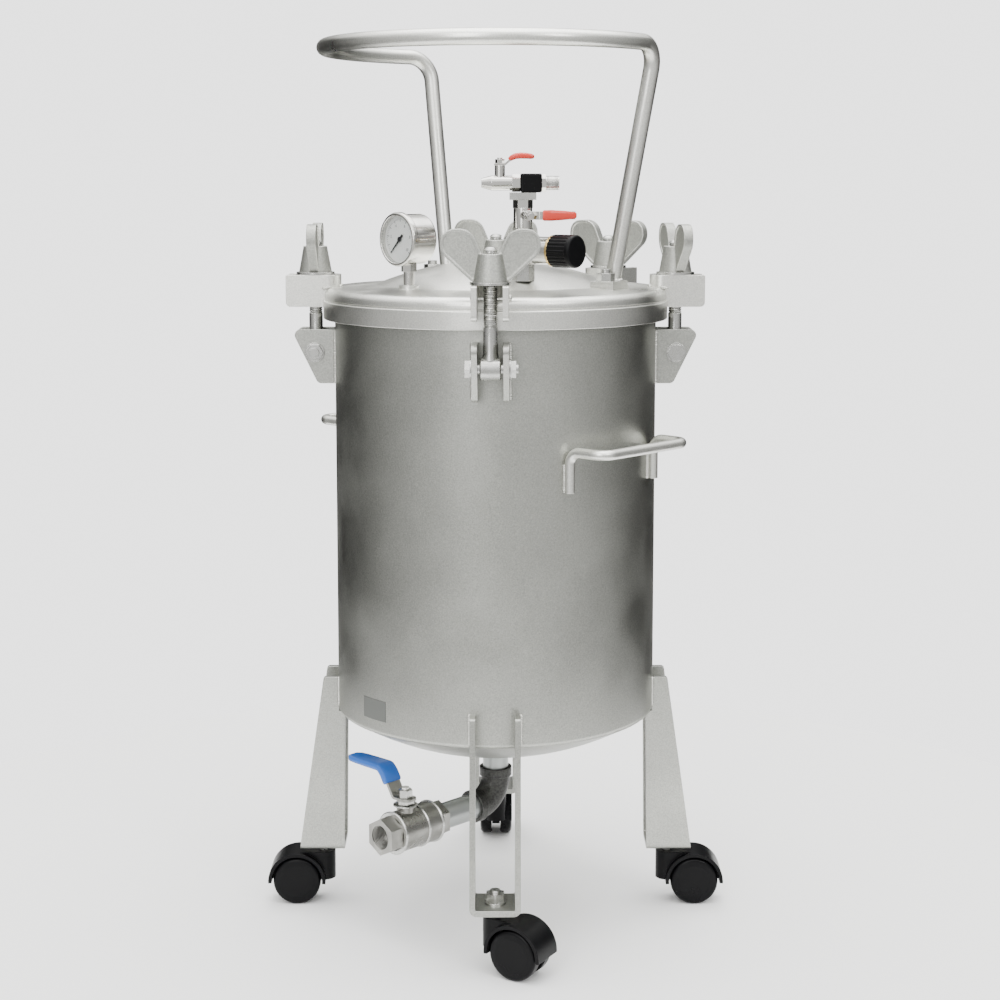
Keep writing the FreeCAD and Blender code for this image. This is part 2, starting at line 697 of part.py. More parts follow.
def hoop_stud_base(azimuth):
    """Foot of a stud, on the pad."""
    base = hoop_foot_point(azimuth) + hoop_side(azimuth) * HOOP_STUD_OFFSET
    return point(base.x, base.y, SHOULDER_TOP + HOOP_PAD_HEIGHT)


def hoop_stud(azimuth):
    """Stud that stands up through the foot plate."""
    base = hoop_stud_base(azimuth)
    height = HOOP_PLATE_THICKNESS + HOOP_NUT_HEIGHT + HOOP_STUD_TIP
    return rod(HOOP_STUD_DIAMETER, base, base + UP * height)


def hoop_nut(azimuth):
    """Nut on a stud."""
    bottom = hoop_stud_base(azimuth) + UP * HOOP_PLATE_THICKNESS
    return hex_rod(HOOP_NUT_FLATS, bottom, bottom + UP * HOOP_NUT_HEIGHT).cut(hoop_stud(azimuth))


def lid_hoop():
    """Round bar bent to an open hoop on two legs, with a plate welded under each leg."""
    ends = []
    for azimuth, way in ((HOOP_START_AZIMUTH, 1), (HOOP_END_AZIMUTH, -1)):
        arc_end = heading(azimuth) * HOOP_RADIUS + UP * HOOP_HEIGHT
        corner = arc_end + heading(azimuth + 90) * (way * HOOP_BEND_REACH)
        ends.append((arc_end, corner))
    (first_end, first_corner), (last_end, last_corner) = ends
    first_foot = hoop_foot_point(HOOP_FOOT_AZIMUTHS[0])
    last_foot = hoop_foot_point(HOOP_FOOT_AZIMUTHS[1])
    middle = heading((HOOP_START_AZIMUTH + HOOP_END_AZIMUTH) / 2) * HOOP_RADIUS + UP * HOOP_HEIGHT
    edges = bent_end(first_foot, first_corner, first_end)
    edges.append(Part.Arc(first_end, middle, last_end).toShape())
    edges += bent_end(last_foot, last_corner, last_end)[::-1]
    bar = swept_bar(HOOP_BAR_DIAMETER, edges, first_foot, first_corner - first_foot)
    plates = []
    for azimuth in HOOP_FOOT_AZIMUTHS:
        foot_plate = hoop_plate_block(azimuth, SHOULDER_TOP + HOOP_PAD_HEIGHT, HOOP_PLATE_THICKNESS)
        plates.append(foot_plate.cut(hoop_stud(azimuth)))
    below_plates = block((FAR, FAR, SHOULDER_TOP + HOOP_PAD_HEIGHT), 0, 0, 0)
    return joined(bar, *plates).cut(below_plates)


def bent_end(foot, corner, arc_end):
    """Leg from its foot up to a bend that ends where the hoop's arc begins."""
    down = (foot - corner).normalize()
    along = (arc_end - corner).normalize()
    half_angle = down.getAngle(along) / 2
    radius = HOOP_BEND_REACH * math.tan(half_angle)
    bend_start = corner + down * HOOP_BEND_REACH
    inward = (down + along).normalize()
    middle = corner + inward * (radius / math.sin(half_angle) - radius)
    return [Part.makeLine(foot, bend_start), Part.Arc(bend_start, middle, arc_end).toShape()]


# ---- Side handles ----

def side_handle():
    """Bar handle built along +X: up the wall, out, across, back and down the wall."""
    wall = TANK_RADIUS + SIDE_BAR_DIAMETER / 2
    near = wall * math.cos(math.radians(SIDE_SPREAD))
    half = wall * math.sin(math.radians(SIDE_SPREAD))
    far = near + SIDE_PROJECTION
    bar_height = RIM_TOP - SIDE_BAR_DROP
    low = bar_height - SIDE_END_LENGTH
    corners = [
        point(near, -half, low),
        point(near, -half, bar_height),
        point(far, -half, bar_height),
        point(far, half, bar_height),
        point(near, half, bar_height),
        point(near, half, low),
    ]
    edges = rounded_edges(corners, [0] + [SIDE_BEND_RADIUS] * 4 + [0], False)
    return swept_bar(SIDE_BAR_DIAMETER, edges, corners[0], UP).cut(tank_envelope())


# ---- Legs and castors ----

def leg():
    """Strap bent to a U, built along +X: two tapered sides on the tank and a plate for the stem."""
    half = LEG_WIDTH / 2
    top = TANK_EDGE_HEIGHT + LEG_OVERLAP
    inner = half - LEG_THICKNESS
    floor = LEG_BASE_HEIGHT + LEG_THICKNESS
    reach = 2 * TANK_RADIUS
    strap = plate([
        (-half, top, 0),
        (-half, LEG_BASE_HEIGHT, LEG_BEND_RADIUS),
        (half, LEG_BASE_HEIGHT, LEG_BEND_RADIUS),
        (half, top, 0),
        (inner, top, 0),
        (inner, floor, LEG_BEND_RADIUS - LEG_THICKNESS),
        (-inner, floor, LEG_BEND_RADIUS - LEG_THICKNESS),
        (-inner, top, 0),
    ], "YZ", reach, reach / 2)
    side = plate([
        (TANK_RADIUS - LEG_FOOT_INSET, LEG_BASE_HEIGHT, 0),
        (TANK_RADIUS + LEG_FOOT_REACH, LEG_BASE_HEIGHT, 0),
        (TANK_RADIUS + LEG_TOP_REACH, top, 3),
        (TANK_RADIUS - LEG_INSET, top, 0),
        (TANK_RADIUS - LEG_INSET, TANK_EDGE_HEIGHT, 0),
    ], "XZ", LEG_WIDTH)
    hole = rod(STEM_DIAMETER + 2 * STEM_HOLE_GAP, point(STEM_CIRCLE, 0, 0), point(STEM_CIRCLE, 0, floor + 1))
    clear_of_tank = Part.makeCylinder(TANK_RADIUS, FAR, point(0, 0, TANK_EDGE_HEIGHT - 1))
    return strap.common(side).cut(clear_of_tank).cut(hole)


def caster_stem():
    """Threaded stem with a flange under the leg's plate, built along +X."""
    bottom = point(STEM_CIRCLE, 0, HOOD_TOP - STEM_SOCKET_DEPTH)
    top = point(STEM_CIRCLE, 0, LEG_BASE_HEIGHT + LEG_THICKNESS + STEM_ABOVE_PLATE)
    under = point(STEM_CIRCLE, 0, LEG_BASE_HEIGHT)
    flange = rod(2 * STEM_FLANGE_RADIUS, under - UP * STEM_FLANGE_HEIGHT, under)
    return joined(rod(STEM_DIAMETER, bottom, top), flange)


def stem_fasteners():
    """Washer and nut on a stem, above the leg's plate."""
    plate_top = point(STEM_CIRCLE, 0, LEG_BASE_HEIGHT + LEG_THICKNESS)
    washer_top = plate_top + UP * STEM_WASHER_THICKNESS
    washer = rod(STEM_WASHER_DIAMETER, plate_top, washer_top)
    nut = hex_rod(STEM_NUT_FLATS, washer_top, washer_top + UP * STEM_NUT_HEIGHT)
    stem = rod(STEM_DIAMETER, point(STEM_CIRCLE, 0, 0), point(STEM_CIRCLE, 0, FAR))
    return [washer.cut(stem), nut.cut(stem)]


def caster_hood():
    """Swivelling hood with a middle web between the wheels; swivel axis on Z, wheels towards +X."""
    half = WHEEL_WEB / 2 + WHEEL_GAP + WHEEL_WIDTH
    centre = point(CASTER_TRAIL, 0, WHEEL_RADIUS)
    roof = rod(2 * HOOD_OUTER, centre - ALONG_Y * half, centre + ALONG_Y * half)
    wheel_room = rod(2 * HOOD_INNER, centre - ALONG_Y * FAR, centre + ALONG_Y * FAR)
    reach = 2 * HOOD_OUTER
    angles = (HOOD_FIRST_ANGLE, (HOOD_FIRST_ANGLE + HOOD_LAST_ANGLE) / 2, HOOD_LAST_ANGLE)
    fan = [(CASTER_TRAIL, WHEEL_RADIUS, 0)]
    for angle in angles:
        fan.append((CASTER_TRAIL + reach * math.cos(math.radians(angle)),
                    WHEEL_RADIUS + reach * math.sin(math.radians(angle)), 0))
    sector = plate(fan, "XZ", 2 * half)
    web_side = ALONG_Y * (WHEEL_WEB / 2)
    web = rod(2 * HOOD_OUTER, centre - web_side, centre + web_side)
    web_core = rod(WHEEL_HUB_DIAMETER, centre - web_side, centre + web_side)
    boss = rod(2 * SWIVEL_BOSS_RADIUS, point(0, 0, WHEEL_RADIUS), point(0, 0, HOOD_TOP))
    saddle = block((CASTER_TRAIL, 2 * SWIVEL_BOSS_RADIUS, HOOD_OUTER), CASTER_TRAIL / 2, 0, WHEEL_RADIUS)
    inner_cut = rod(2 * HOOD_INNER, centre - ALONG_Y * FAR, centre - web_side)
    outer_cut = rod(2 * HOOD_INNER, centre + web_side, centre + ALONG_Y * FAR)
    shell = joined(roof.cut(wheel_room).common(sector), web.common(sector), web_core, boss, saddle)
    shell = shell.cut(inner_cut).cut(outer_cut)
    socket_floor = point(0, 0, HOOD_TOP - STEM_SOCKET_DEPTH - STEM_END_GAP)
    stem_hole = rod(STEM_DIAMETER + 2 * RUNNING_FIT, socket_floor, point(0, 0, FAR))
    axle_hole = rod(AXLE_DIAMETER, centre - ALONG_Y * FAR, centre + ALONG_Y * FAR)
    return shell.cut(stem_hole).cut(axle_hole)


def caster_axle():
    """Axle pressed through the hood's web."""
    half = WHEEL_WEB / 2 + WHEEL_GAP + WHEEL_WIDTH - WHEEL_CAP
    centre = point(CASTER_TRAIL, 0, WHEEL_RADIUS)
    return rod(AXLE_DIAMETER, centre - ALONG_Y * half, centre + ALONG_Y * half)


def caster_wheel(side):
    """One of the two wheels, with a rounded tread and a plain, slightly raised face."""
    inner = WHEEL_WEB / 2 + WHEEL_GAP
    outer = inner + WHEEL_WIDTH
    tyre = spun([
        (0, inner, 0),
        (WHEEL_RADIUS, inner, 1.5),
        (WHEEL_RADIUS, outer - WHEEL_FACE_RISE, WHEEL_TREAD_RADIUS),
        (WHEEL_FACE_RADIUS, outer, 3),
        (0, outer, 0),
    ])
    bore = rod(AXLE_DIAMETER + 2 * RUNNING_FIT, point(0, 0, inner - 1), point(0, 0, outer - WHEEL_CAP + 0.2))
    wheel = tyre.cut(bore)
    return placed(wheel, point(CASTER_TRAIL, 0, WHEEL_RADIUS), ALONG_Y * side)


def at_caster(shape, name):
    """Put a castor piece, built about its swivel axis, under its leg and turn it to its trail."""
    start = heading(LEG_AZIMUTHS[name]) * STEM_CIRCLE
    return level_frame(shape, start, CASTER_TRAIL_AZIMUTHS[name])


# ---- Bottom outlet, built with its horizontal run along +X ----

def outlet(reach, height=OUTLET_HEIGHT):
    """Point on the outlet's horizontal run, or above it."""
    return point(reach, 0, height)


def outlet_nipple():
    """Short pipe down from the tank's socket into the elbow."""
    top = SOCKET_BOTTOM + NIPPLE_ENGAGEMENT
    bottom = OUTLET_HEIGHT + ELBOW_REACH - ELBOW_ENGAGEMENT
    pipe = rod(PIPE_DIAMETER, point(0, 0, bottom), point(0, 0, top))
    return pipe.cut(rod(PIPE_BORE, point(0, 0, 0), point(0, 0, FAR)))


def outlet_elbow():
    """Cast elbow with a collar at each end."""
    start = point(0, 0, OUTLET_HEIGHT + ELBOW_REACH)
    end = outlet(ELBOW_REACH)
    bend = ELBOW_REACH - ELBOW_COLLAR_LENGTH
    edges = rounded_edges([start, outlet(0), end], [0, bend, 0], False)
    body = swept_bar(ELBOW_DIAMETER, edges, start, UP)
    collars = [
        rod(ELBOW_COLLAR_DIAMETER, start - UP * ELBOW_COLLAR_LENGTH, start),
        rod(ELBOW_COLLAR_DIAMETER, end - ALONG_X * ELBOW_COLLAR_LENGTH, end),
    ]
    hollow = swept_bar(PIPE_BORE, edges, start, UP)
    seats = [
        rod(PIPE_DIAMETER, start - UP * ELBOW_ENGAGEMENT, start + UP),
        rod(PIPE_DIAMETER, end - ALONG_X * ELBOW_ENGAGEMENT, end + ALONG_X),
    ]
    return joined(body, *collars).cut(hollow).cut(seats[0]).cut(seats[1])


def outlet_pipe():
    """Pipe from the elbow to the valve."""
    start = outlet(ELBOW_REACH - ELBOW_ENGAGEMENT)
    end = outlet(VALVE_BACK_REACH + VALVE_ENGAGEMENT)
    return rod(PIPE_DIAMETER, start, end).cut(rod(PIPE_BORE, start, end))


def drain_valve_body():
    """Two-piece ball valve body: a hexagon at each end, a round middle and a neck for the stem."""
    back = outlet(VALVE_BACK_REACH)
    mouth = outlet(VALVE_MOUTH_REACH)
    body_start = outlet(VALVE_BACK_REACH + VALVE_BACK_HEX_LENGTH)
    body_end = outlet(VALVE_MOUTH_REACH - VALVE_HEX_LENGTH)
    hexes = hex_rod(VALVE_HEX, back, body_start), hex_rod(VALVE_HEX, body_end, mouth)
    middle = rod(VALVE_BODY_DIAMETER, body_start, body_end)
    neck_top = outlet(VALVE_STEM_REACH, LEVER_BOTTOM - VALVE_GLAND_HEIGHT - 1)
    neck = rod(VALVE_NECK_DIAMETER, outlet(VALVE_STEM_REACH), neck_top)
    body = joined(middle, neck, *hexes)
    ball_room = Part.makeSphere(VALVE_BALL_DIAMETER / 2 + RUNNING_FIT, outlet(VALVE_STEM_REACH))
    pipe_end = outlet(VALVE_BACK_REACH + VALVE_ENGAGEMENT)
    mouth_start = outlet(VALVE_STEM_REACH + VALVE_MOUTH_START)
    cuts = [
        ball_room,
        rod(VALVE_PORT, pipe_end, mouth_start),
        rod(VALVE_MOUTH_BORE, mouth_start, mouth + ALONG_X),
        rod(PIPE_DIAMETER, back - ALONG_X, pipe_end),
        rod(VALVE_STEM_DIAMETER + 2 * RUNNING_FIT, outlet(VALVE_STEM_REACH), neck_top + UP),
    ]
    for cutter in cuts:
        body = body.cut(cutter)
    return body


def drain_ball():
    """Ball with its bore, and the stem that turns it; shut, with the bore across the run."""
    centre = outlet(VALVE_STEM_REACH)
    stem_top = outlet(VALVE_STEM_REACH, LEVER_BOTTOM + LEVER_THICKNESS + VALVE_STEM_NUT_HEIGHT + 2.5)
    stem = rod(VALVE_STEM_DIAMETER, centre, stem_top)
    ball = joined(Part.makeSphere(VALVE_BALL_DIAMETER / 2, centre), stem)
    return ball.cut(rod(VALVE_BALL_BORE, centre - ALONG_Y * FAR, centre + ALONG_Y * FAR))


def drain_stem_fasteners():
    """Gland nut under the lever and the nut on top of it."""
    stem = rod(VALVE_STEM_DIAMETER, outlet(VALVE_STEM_REACH), outlet(VALVE_STEM_REACH, FAR))
    gland_bottom = outlet(VALVE_STEM_REACH, LEVER_BOTTOM - VALVE_GLAND_HEIGHT)
    gland = hex_rod(VALVE_GLAND_FLATS, gland_bottom, outlet(VALVE_STEM_REACH, LEVER_BOTTOM))
    nut_bottom = outlet(VALVE_STEM_REACH, LEVER_BOTTOM + LEVER_THICKNESS)
    nut = hex_rod(VALVE_STEM_NUT_FLATS, nut_bottom, nut_bottom + UP * VALVE_STEM_NUT_HEIGHT)
    return [gland.cut(stem), nut.cut(stem)]


def lever_strip(thickness, width, start, lift):
    """Cranked strip along +Y from the stem: flat, up a slope, then level; lift is a sleeve's wall."""
    low = LEVER_BOTTOM - lift
    high = low + LEVER_RISE
    half_turn = math.tan(math.atan2(LEVER_RISE, LEVER_SLOPE_RUN) / 2)
    flat_end = LEVER_FLAT + lift * half_turn
    slope_end = flat_end + LEVER_SLOPE_RUN
    tip = LEVER_LENGTH + lift
    shift = thickness * half_turn
    outline_side = [
        (-LEVER_FLAT, low, 0),
        (flat_end, low, LEVER_BEND_RADIUS + thickness),
        (slope_end, high, LEVER_BEND_RADIUS),
        (tip, high, 0),
        (tip, high + thickness, 0),
        (slope_end - shift, high + thickness, LEVER_BEND_RADIUS + thickness),
        (flat_end - shift, low + thickness, LEVER_BEND_RADIUS),
        (-LEVER_FLAT, low + thickness, 0),
    ]
    strip = plate(outline_side, "YZ", width)
    outline = plate([
        (-width / 2, -LEVER_FLAT, width * 0.4),
        (width / 2, -LEVER_FLAT, width * 0.4),
        (width / 2, tip, width * 0.45),
        (-width / 2, tip, width * 0.45),
    ], "XY", FAR)
    ahead = block((FAR, FAR, FAR), 0, start + FAR / 2, -FAR / 2)
    return strip.common(outline).common(ahead)


def lever_in_place(strip):
    """Turn a lever piece to the side it points to when shut, and put it on the stem."""
    return level_frame(strip, point(VALVE_STEM_REACH, 0, 0), 180)


def drain_lever():
    """Steel lever on the stem, pointing across the run when shut."""
    strip = lever_in_place(lever_strip(LEVER_THICKNESS, LEVER_WIDTH, -LEVER_LENGTH, 0))
    return strip.cut(rod(VALVE_STEM_DIAMETER, outlet(VALVE_STEM_REACH, 0), outlet(VALVE_STEM_REACH, FAR)))


def drain_grip():
    """Dipped plastic sleeve over the lever's outer part."""
    sleeve = lever_strip(LEVER_THICKNESS + 2 * GRIP_WALL, LEVER_WIDTH + 2 * GRIP_WALL,
                         LEVER_FLAT + GRIP_FROM_BEND, GRIP_WALL)
    return lever_in_place(sleeve).cut(drain_lever())


# ---- Air fittings ----

def air(height, along=ORIGIN):
    """Point on the axis of the air fittings, or moved from it."""
    return point(AIR_X, AIR_Y, height) + along


SUPPLY_TOP = REGULATOR_TOP + SUPPLY_VALVE_LENGTH
SUPPLY_STEM_HEIGHT = REGULATOR_TOP + SUPPLY_STEM_RISE
TEE_RUN_HEIGHT = SUPPLY_TOP + TEE_BASE_SIZE[2] + TEE_BLOCK_SIZE[2] / 2
TEE_LEFT = AIR_X + TEE_BLOCK_SHIFT - TEE_BLOCK_SIZE[0] / 2
TEE_RIGHT = AIR_X + TEE_BLOCK_SHIFT + TEE_BLOCK_SIZE[0] / 2
AIR_VALVE_STEM_X = TEE_LEFT - AIR_VALVE_HEX_LENGTH - AIR_STEM_FROM_HEX


def air_nipple():
    """Hexagonal nipple that carries the air fittings on the lid."""
    distance = math.hypot(AIR_X, AIR_Y)
    bottom = lid_height_at(distance) - 1.5
    nipple = hex_rod(AIR_NIPPLE_FLATS, air(bottom), air(REGULATOR_FLOOR))
    bore = rod(AIR_BORE, air(0), air(FAR))
    return nipple.cut(lid_envelope()).cut(bore)


def regulator_body():
    """Round regulator body with its spring bonnet to the side."""
    side = heading(REGULATOR_AZIMUTH)
    middle = (REGULATOR_FLOOR + REGULATOR_TOP) / 2
    body = rod(REGULATOR_DIAMETER, air(REGULATOR_FLOOR), air(REGULATOR_TOP))
    bonnet = rod(BONNET_DIAMETER, air(middle), air(middle, side * BONNET_REACH))
    bore = rod(AIR_BORE, air(0), air(FAR))
    return joined(body.makeFillet(3, body.Edges[:1] + body.Edges[2:]), bonnet).cut(bore)


def regulator_ring():
    """Brass locking ring between the bonnet and the knob."""
    side = heading(REGULATOR_AZIMUTH)
    middle = (REGULATOR_FLOOR + REGULATOR_TOP) / 2
    return rod(BRASS_RING_DIAMETER, air(middle, side * BONNET_REACH),
               air(middle, side * (BONNET_REACH + BRASS_RING_LENGTH)))


def regulator_knob():
    """Ribbed plastic knob with a chamfered end."""
    side = heading(REGULATOR_AZIMUTH)
    middle = (REGULATOR_FLOOR + REGULATOR_TOP) / 2
    knob = Part.makeCylinder(KNOB_DIAMETER / 2, KNOB_LENGTH)
    top_edge = [edge for edge in knob.Edges if edge.BoundBox.ZMin > KNOB_LENGTH - 0.1]
    knob = knob.makeFillet(2.5, top_edge)
    radius = KNOB_DIAMETER / 2 + KNOB_RIB_DEPTH
    for rib in range(KNOB_RIBS):
        foot = heading(rib * 360 / KNOB_RIBS) * radius
        knob = knob.cut(rod(4 * KNOB_RIB_DEPTH, foot - UP, foot + UP * (KNOB_LENGTH - 5)))
    start = air(middle, side * (BONNET_REACH + BRASS_RING_LENGTH + FACE_GAP))
    return placed(knob, start, side)


def supply_valve_body():
    """Small upright ball valve: a hexagon at each end, a round middle and a neck to the side."""
    hexes = [
        hex_rod(SUPPLY_VALVE_HEX, air(REGULATOR_TOP), air(REGULATOR_TOP + SUPPLY_VALVE_HEX_LENGTH)),
        hex_rod(SUPPLY_VALVE_HEX, air(SUPPLY_TOP - SUPPLY_VALVE_HEX_LENGTH), air(SUPPLY_TOP)),
    ]
    middle = rod(SUPPLY_VALVE_DIAMETER, air(REGULATOR_TOP + SUPPLY_VALVE_HEX_LENGTH),
                 air(SUPPLY_TOP - SUPPLY_VALVE_HEX_LENGTH))
    side = heading(SUPPLY_STEM_AZIMUTH)
    neck_end = air(SUPPLY_STEM_HEIGHT, side * SMALL_NECK_REACH)
    neck = rod(SMALL_NECK_DIAMETER, air(SUPPLY_STEM_HEIGHT), neck_end)
    stem_hole = rod(SMALL_STEM_DIAMETER + 2 * RUNNING_FIT, air(SUPPLY_STEM_HEIGHT, side * 6),
                    air(SUPPLY_STEM_HEIGHT, side * FAR))
    bore = rod(AIR_BORE, air(0), air(FAR))
    return joined(middle, neck, *hexes).cut(bore).cut(stem_hole)


def small_lever(length, rise):
    """Small cranked lever on a stem up +Z, pointing to +X: its stem, strip, nut and grip."""
    thick = SMALL_LEVER_THICKNESS
    half = SMALL_NUT_FLATS / 2 + 1.6
    slope_end = half + rise + 1
    bend = 2.0
    strip_side = plate([
        (-half, 0, 0),
        (half, 0, bend),
        (slope_end, rise, bend),
        (length, rise, 0),
        (length, rise + thick, 0),
        (slope_end - 1, rise + thick, bend),
        (half - 1, thick, bend),
        (-half, thick, 0),
    ], "XZ", SMALL_LEVER_WIDTH)
    stem_end = point(0, 0, thick + SMALL_NUT_HEIGHT + SMALL_STEM_TIP)
    stem = rod(SMALL_STEM_DIAMETER, point(0, 0, SMALL_STEM_START - SMALL_NECK_REACH), stem_end)
    strip = strip_side.cut(stem)
    nut = hex_rod(SMALL_NUT_FLATS, point(0, 0, thick), point(0, 0, thick + SMALL_NUT_HEIGHT)).cut(stem)
    wall = 1.6
    half_grip = SMALL_GRIP_WIDTH / 2 + wall / 2
    grip = plate([
        (SMALL_GRIP_START, -half_grip, 1.5),
        (length + wall, -half_grip, 4),
        (length + wall, half_grip, 4),
        (SMALL_GRIP_START, half_grip, 1.5),
    ], "XY", thick + 2 * wall, rise + thick / 2)
    return stem, strip, nut, grip.cut(strip)


def supply_lever_pieces():
    """The upright valve's lever, pointing to the back right when shut."""
    side = heading(SUPPLY_STEM_AZIMUTH)
    start = air(SUPPLY_STEM_HEIGHT, side * (SMALL_NECK_REACH + FACE_GAP))
    across = heading(SUPPLY_STEM_AZIMUTH + 90)
    pieces = small_lever(SMALL_LEVER_LENGTH, SMALL_LEVER_RISE)
    return [framed(piece, start, across, UP, side) for piece in pieces]


def tee_base():
    """Grey block under the tee."""
    base = block(TEE_BASE_SIZE, AIR_X, AIR_Y, SUPPLY_TOP)
    return base.cut(rod(AIR_BORE, air(0), air(FAR)))


def tee_block():
    """Black tee that splits the air between the valve and the inlet."""
    centre = AIR_X + TEE_BLOCK_SHIFT
    body = block(TEE_BLOCK_SIZE, centre, AIR_Y, SUPPLY_TOP + TEE_BASE_SIZE[2])
    body = body.makeFillet(2.0, body.Edges)
    run_start = point(TEE_LEFT - 1, AIR_Y, TEE_RUN_HEIGHT)
    run = rod(AIR_BORE, run_start, point(TEE_RIGHT + 1, AIR_Y, TEE_RUN_HEIGHT))
    drop = rod(AIR_BORE, air(SUPPLY_TOP), air(TEE_RUN_HEIGHT))
    return body.cut(run).cut(drop)


def air_inlet():
    """Threaded nipple for the air line, on the tee's right."""
    start = point(TEE_RIGHT, AIR_Y, TEE_RUN_HEIGHT)
    flange = hex_rod(AIR_VALVE_HEX, start, start + ALONG_X * AIR_INLET_FLANGE)
    end = start + ALONG_X * (AIR_INLET_FLANGE + AIR_INLET_LENGTH)
    nipple = joined(flange, rod(AIR_INLET_DIAMETER, start, end))
    return nipple.cut(rod(AIR_BORE, start - ALONG_X, start + ALONG_X * FAR))


def air_valve_body():
    """Small level ball valve on the tee's left, with a hose barb and a neck up to its lever."""
    start = point(TEE_LEFT, AIR_Y, TEE_RUN_HEIGHT)
    left = ALONG_X * -1
    hex_end = start + left * AIR_VALVE_HEX_LENGTH
    body_end = start + left * AIR_VALVE_LENGTH
    barb_end = body_end + left * BARB_LENGTH
    barb = placed(Part.makeCone(AIR_VALVE_DIAMETER / 2, BARB_DIAMETER / 2, BARB_LENGTH), body_end, left)
    stem_foot = point(AIR_VALVE_STEM_X, AIR_Y, TEE_RUN_HEIGHT)
    neck = rod(SMALL_NECK_DIAMETER, stem_foot, stem_foot + UP * AIR_NECK_RISE)
    middle = rod(AIR_VALVE_DIAMETER, hex_end, body_end)
    body = joined(hex_rod(AIR_VALVE_HEX, start, hex_end), middle, barb, neck)
    stem_hole = rod(SMALL_STEM_DIAMETER + 2 * RUNNING_FIT, stem_foot + UP * 7, stem_foot + UP * FAR)
    return body.cut(rod(AIR_BORE, start - left, barb_end + left)).cut(stem_hole)


def air_lever_pieces():
    """The level valve's lever, pointing back over the tee when open."""
    start = point(AIR_VALVE_STEM_X, AIR_Y, TEE_RUN_HEIGHT + AIR_NECK_RISE + FACE_GAP)
    return [placed(piece, start) for piece in small_lever(AIR_LEVER_LENGTH, AIR_LEVER_RISE)]


# ---- Gauge, built up +Z as its facing direction, its twelve o'clock along +X ----

def gauge_frame(shape):
    """Move a gauge piece from its own frame to its place on the lid."""
    facing = heading(GAUGE_FACING)
    centre = heading(GAUGE_AZIMUTH) * GAUGE_REACH + UP * GAUGE_HEIGHT
    return framed(shape, centre, UP, facing.cross(UP), facing)


def gauge_case():
    """Round case with its bezel, its neck and the hexagon it is tightened by."""
    radius = GAUGE_DIAMETER / 2
    half = GAUGE_DEPTH / 2
    body_radius = radius - 2.0
    bezel_back = half - GAUGE_BEZEL_DEPTH
    cup = spun([
        (0, -half, 0),
        (body_radius, -half, 3),
        (body_radius, bezel_back, 0),
        (radius, bezel_back, 1.5),
        (radius, half, 2.5),
        (radius - GAUGE_BEZEL_WIDTH, half, 1),
        (radius - GAUGE_BEZEL_WIDTH, half - GAUGE_DIAL_BACK - GAUGE_DIAL_THICKNESS, 0),
        (0, half - GAUGE_DIAL_BACK - GAUGE_DIAL_THICKNESS, 0),
    ])
    neck_end = lid_height_at(GAUGE_REACH) + GAUGE_BOSS_HEIGHT - GAUGE_HEIGHT
    hex_start = -(body_radius - 0.5)
    stem = rod(GAUGE_NECK_DIAMETER, point(hex_start, 0, 0), point(neck_end, 0, 0))
    hexagon = hex_rod(GAUGE_STEM_HEX, point(hex_start, 0, 0), point(hex_start - GAUGE_STEM_HEX_HEIGHT, 0, 0))
    pin_hole = rod(2.0 + 2 * RUNNING_FIT, point(0, 0, half - GAUGE_DIAL_BACK - 5), point(0, 0, half))
    return gauge_frame(joined(cup, stem, hexagon).cut(pin_hole))


def gauge_dial():
    """White dial at the bottom of the bezel."""
    half = GAUGE_DEPTH / 2
    radius = GAUGE_DIAMETER / 2 - GAUGE_BEZEL_WIDTH
    start = point(0, 0, half - GAUGE_DIAL_BACK - GAUGE_DIAL_THICKNESS)
    disc = Part.makeCylinder(radius, GAUGE_DIAL_THICKNESS, start)
    return gauge_frame(disc.cut(rod(2.6, start - UP, start + UP * 3)))


def gauge_needle():
    """Pointer on its pin, at the start of the scale."""
    half = GAUGE_DEPTH / 2
    height = half - GAUGE_DIAL_BACK + 1.2
    blade = plate([
        (-NEEDLE_TAIL, -1.3, 0.5),
        (NEEDLE_LENGTH, -0.25, 0),
        (NEEDLE_LENGTH, 0.25, 0),
        (-NEEDLE_TAIL, 1.3, 0.5),
    ], "XY", NEEDLE_THICKNESS, height)
    hub = rod(5.0, point(0, 0, height - NEEDLE_THICKNESS), point(0, 0, height + NEEDLE_THICKNESS))
    pin = rod(2.0, point(0, 0, half - GAUGE_DIAL_BACK - 4), point(0, 0, height))
    needle = joined(blade, hub, pin)
    needle.rotate(ORIGIN, UP, NEEDLE_START_ANGLE)
    return gauge_frame(needle)


def gauge_glass():
    """Flat window in the bezel."""
    half = GAUGE_DEPTH / 2
    radius = GAUGE_DIAMETER / 2 - GAUGE_BEZEL_WIDTH
    start = point(0, 0, half - 1.5 - GAUGE_GLASS_THICKNESS)
    return gauge_frame(Part.makeCylinder(radius, GAUGE_GLASS_THICKNESS, start))


# ---- Write every node ----

export("tank_shell", tank_shell())
export("lid_shell", lid_shell())
export("lid_gasket", lid_gasket())
export("lid_lugs", *[at_azimuth(lid_lug(), azimuth) for azimuth in CLAMP_AZIMUTHS.values()])
export("clevis_plates", *[at_azimuth(clevis_plate(side), azimuth)
                          for azimuth in CLAMP_AZIMUTHS.values() for side in (-1, 1)])
export("clevis_pins", *[at_azimuth(piece, azimuth)
                        for azimuth in CLAMP_AZIMUTHS.values() for piece in clevis_pin()])
for clamp, clamp_azimuth in CLAMP_AZIMUTHS.items():
    export("swing_bolt_" + clamp, at_azimuth(swing_bolt(), clamp_azimuth))
    export("clamp_washer_" + clamp, at_azimuth(clamp_washer(), clamp_azimuth))
    export("wing_nut_" + clamp, at_azimuth(wing_nut(WING_TURNS[clamp]), clamp_azimuth))

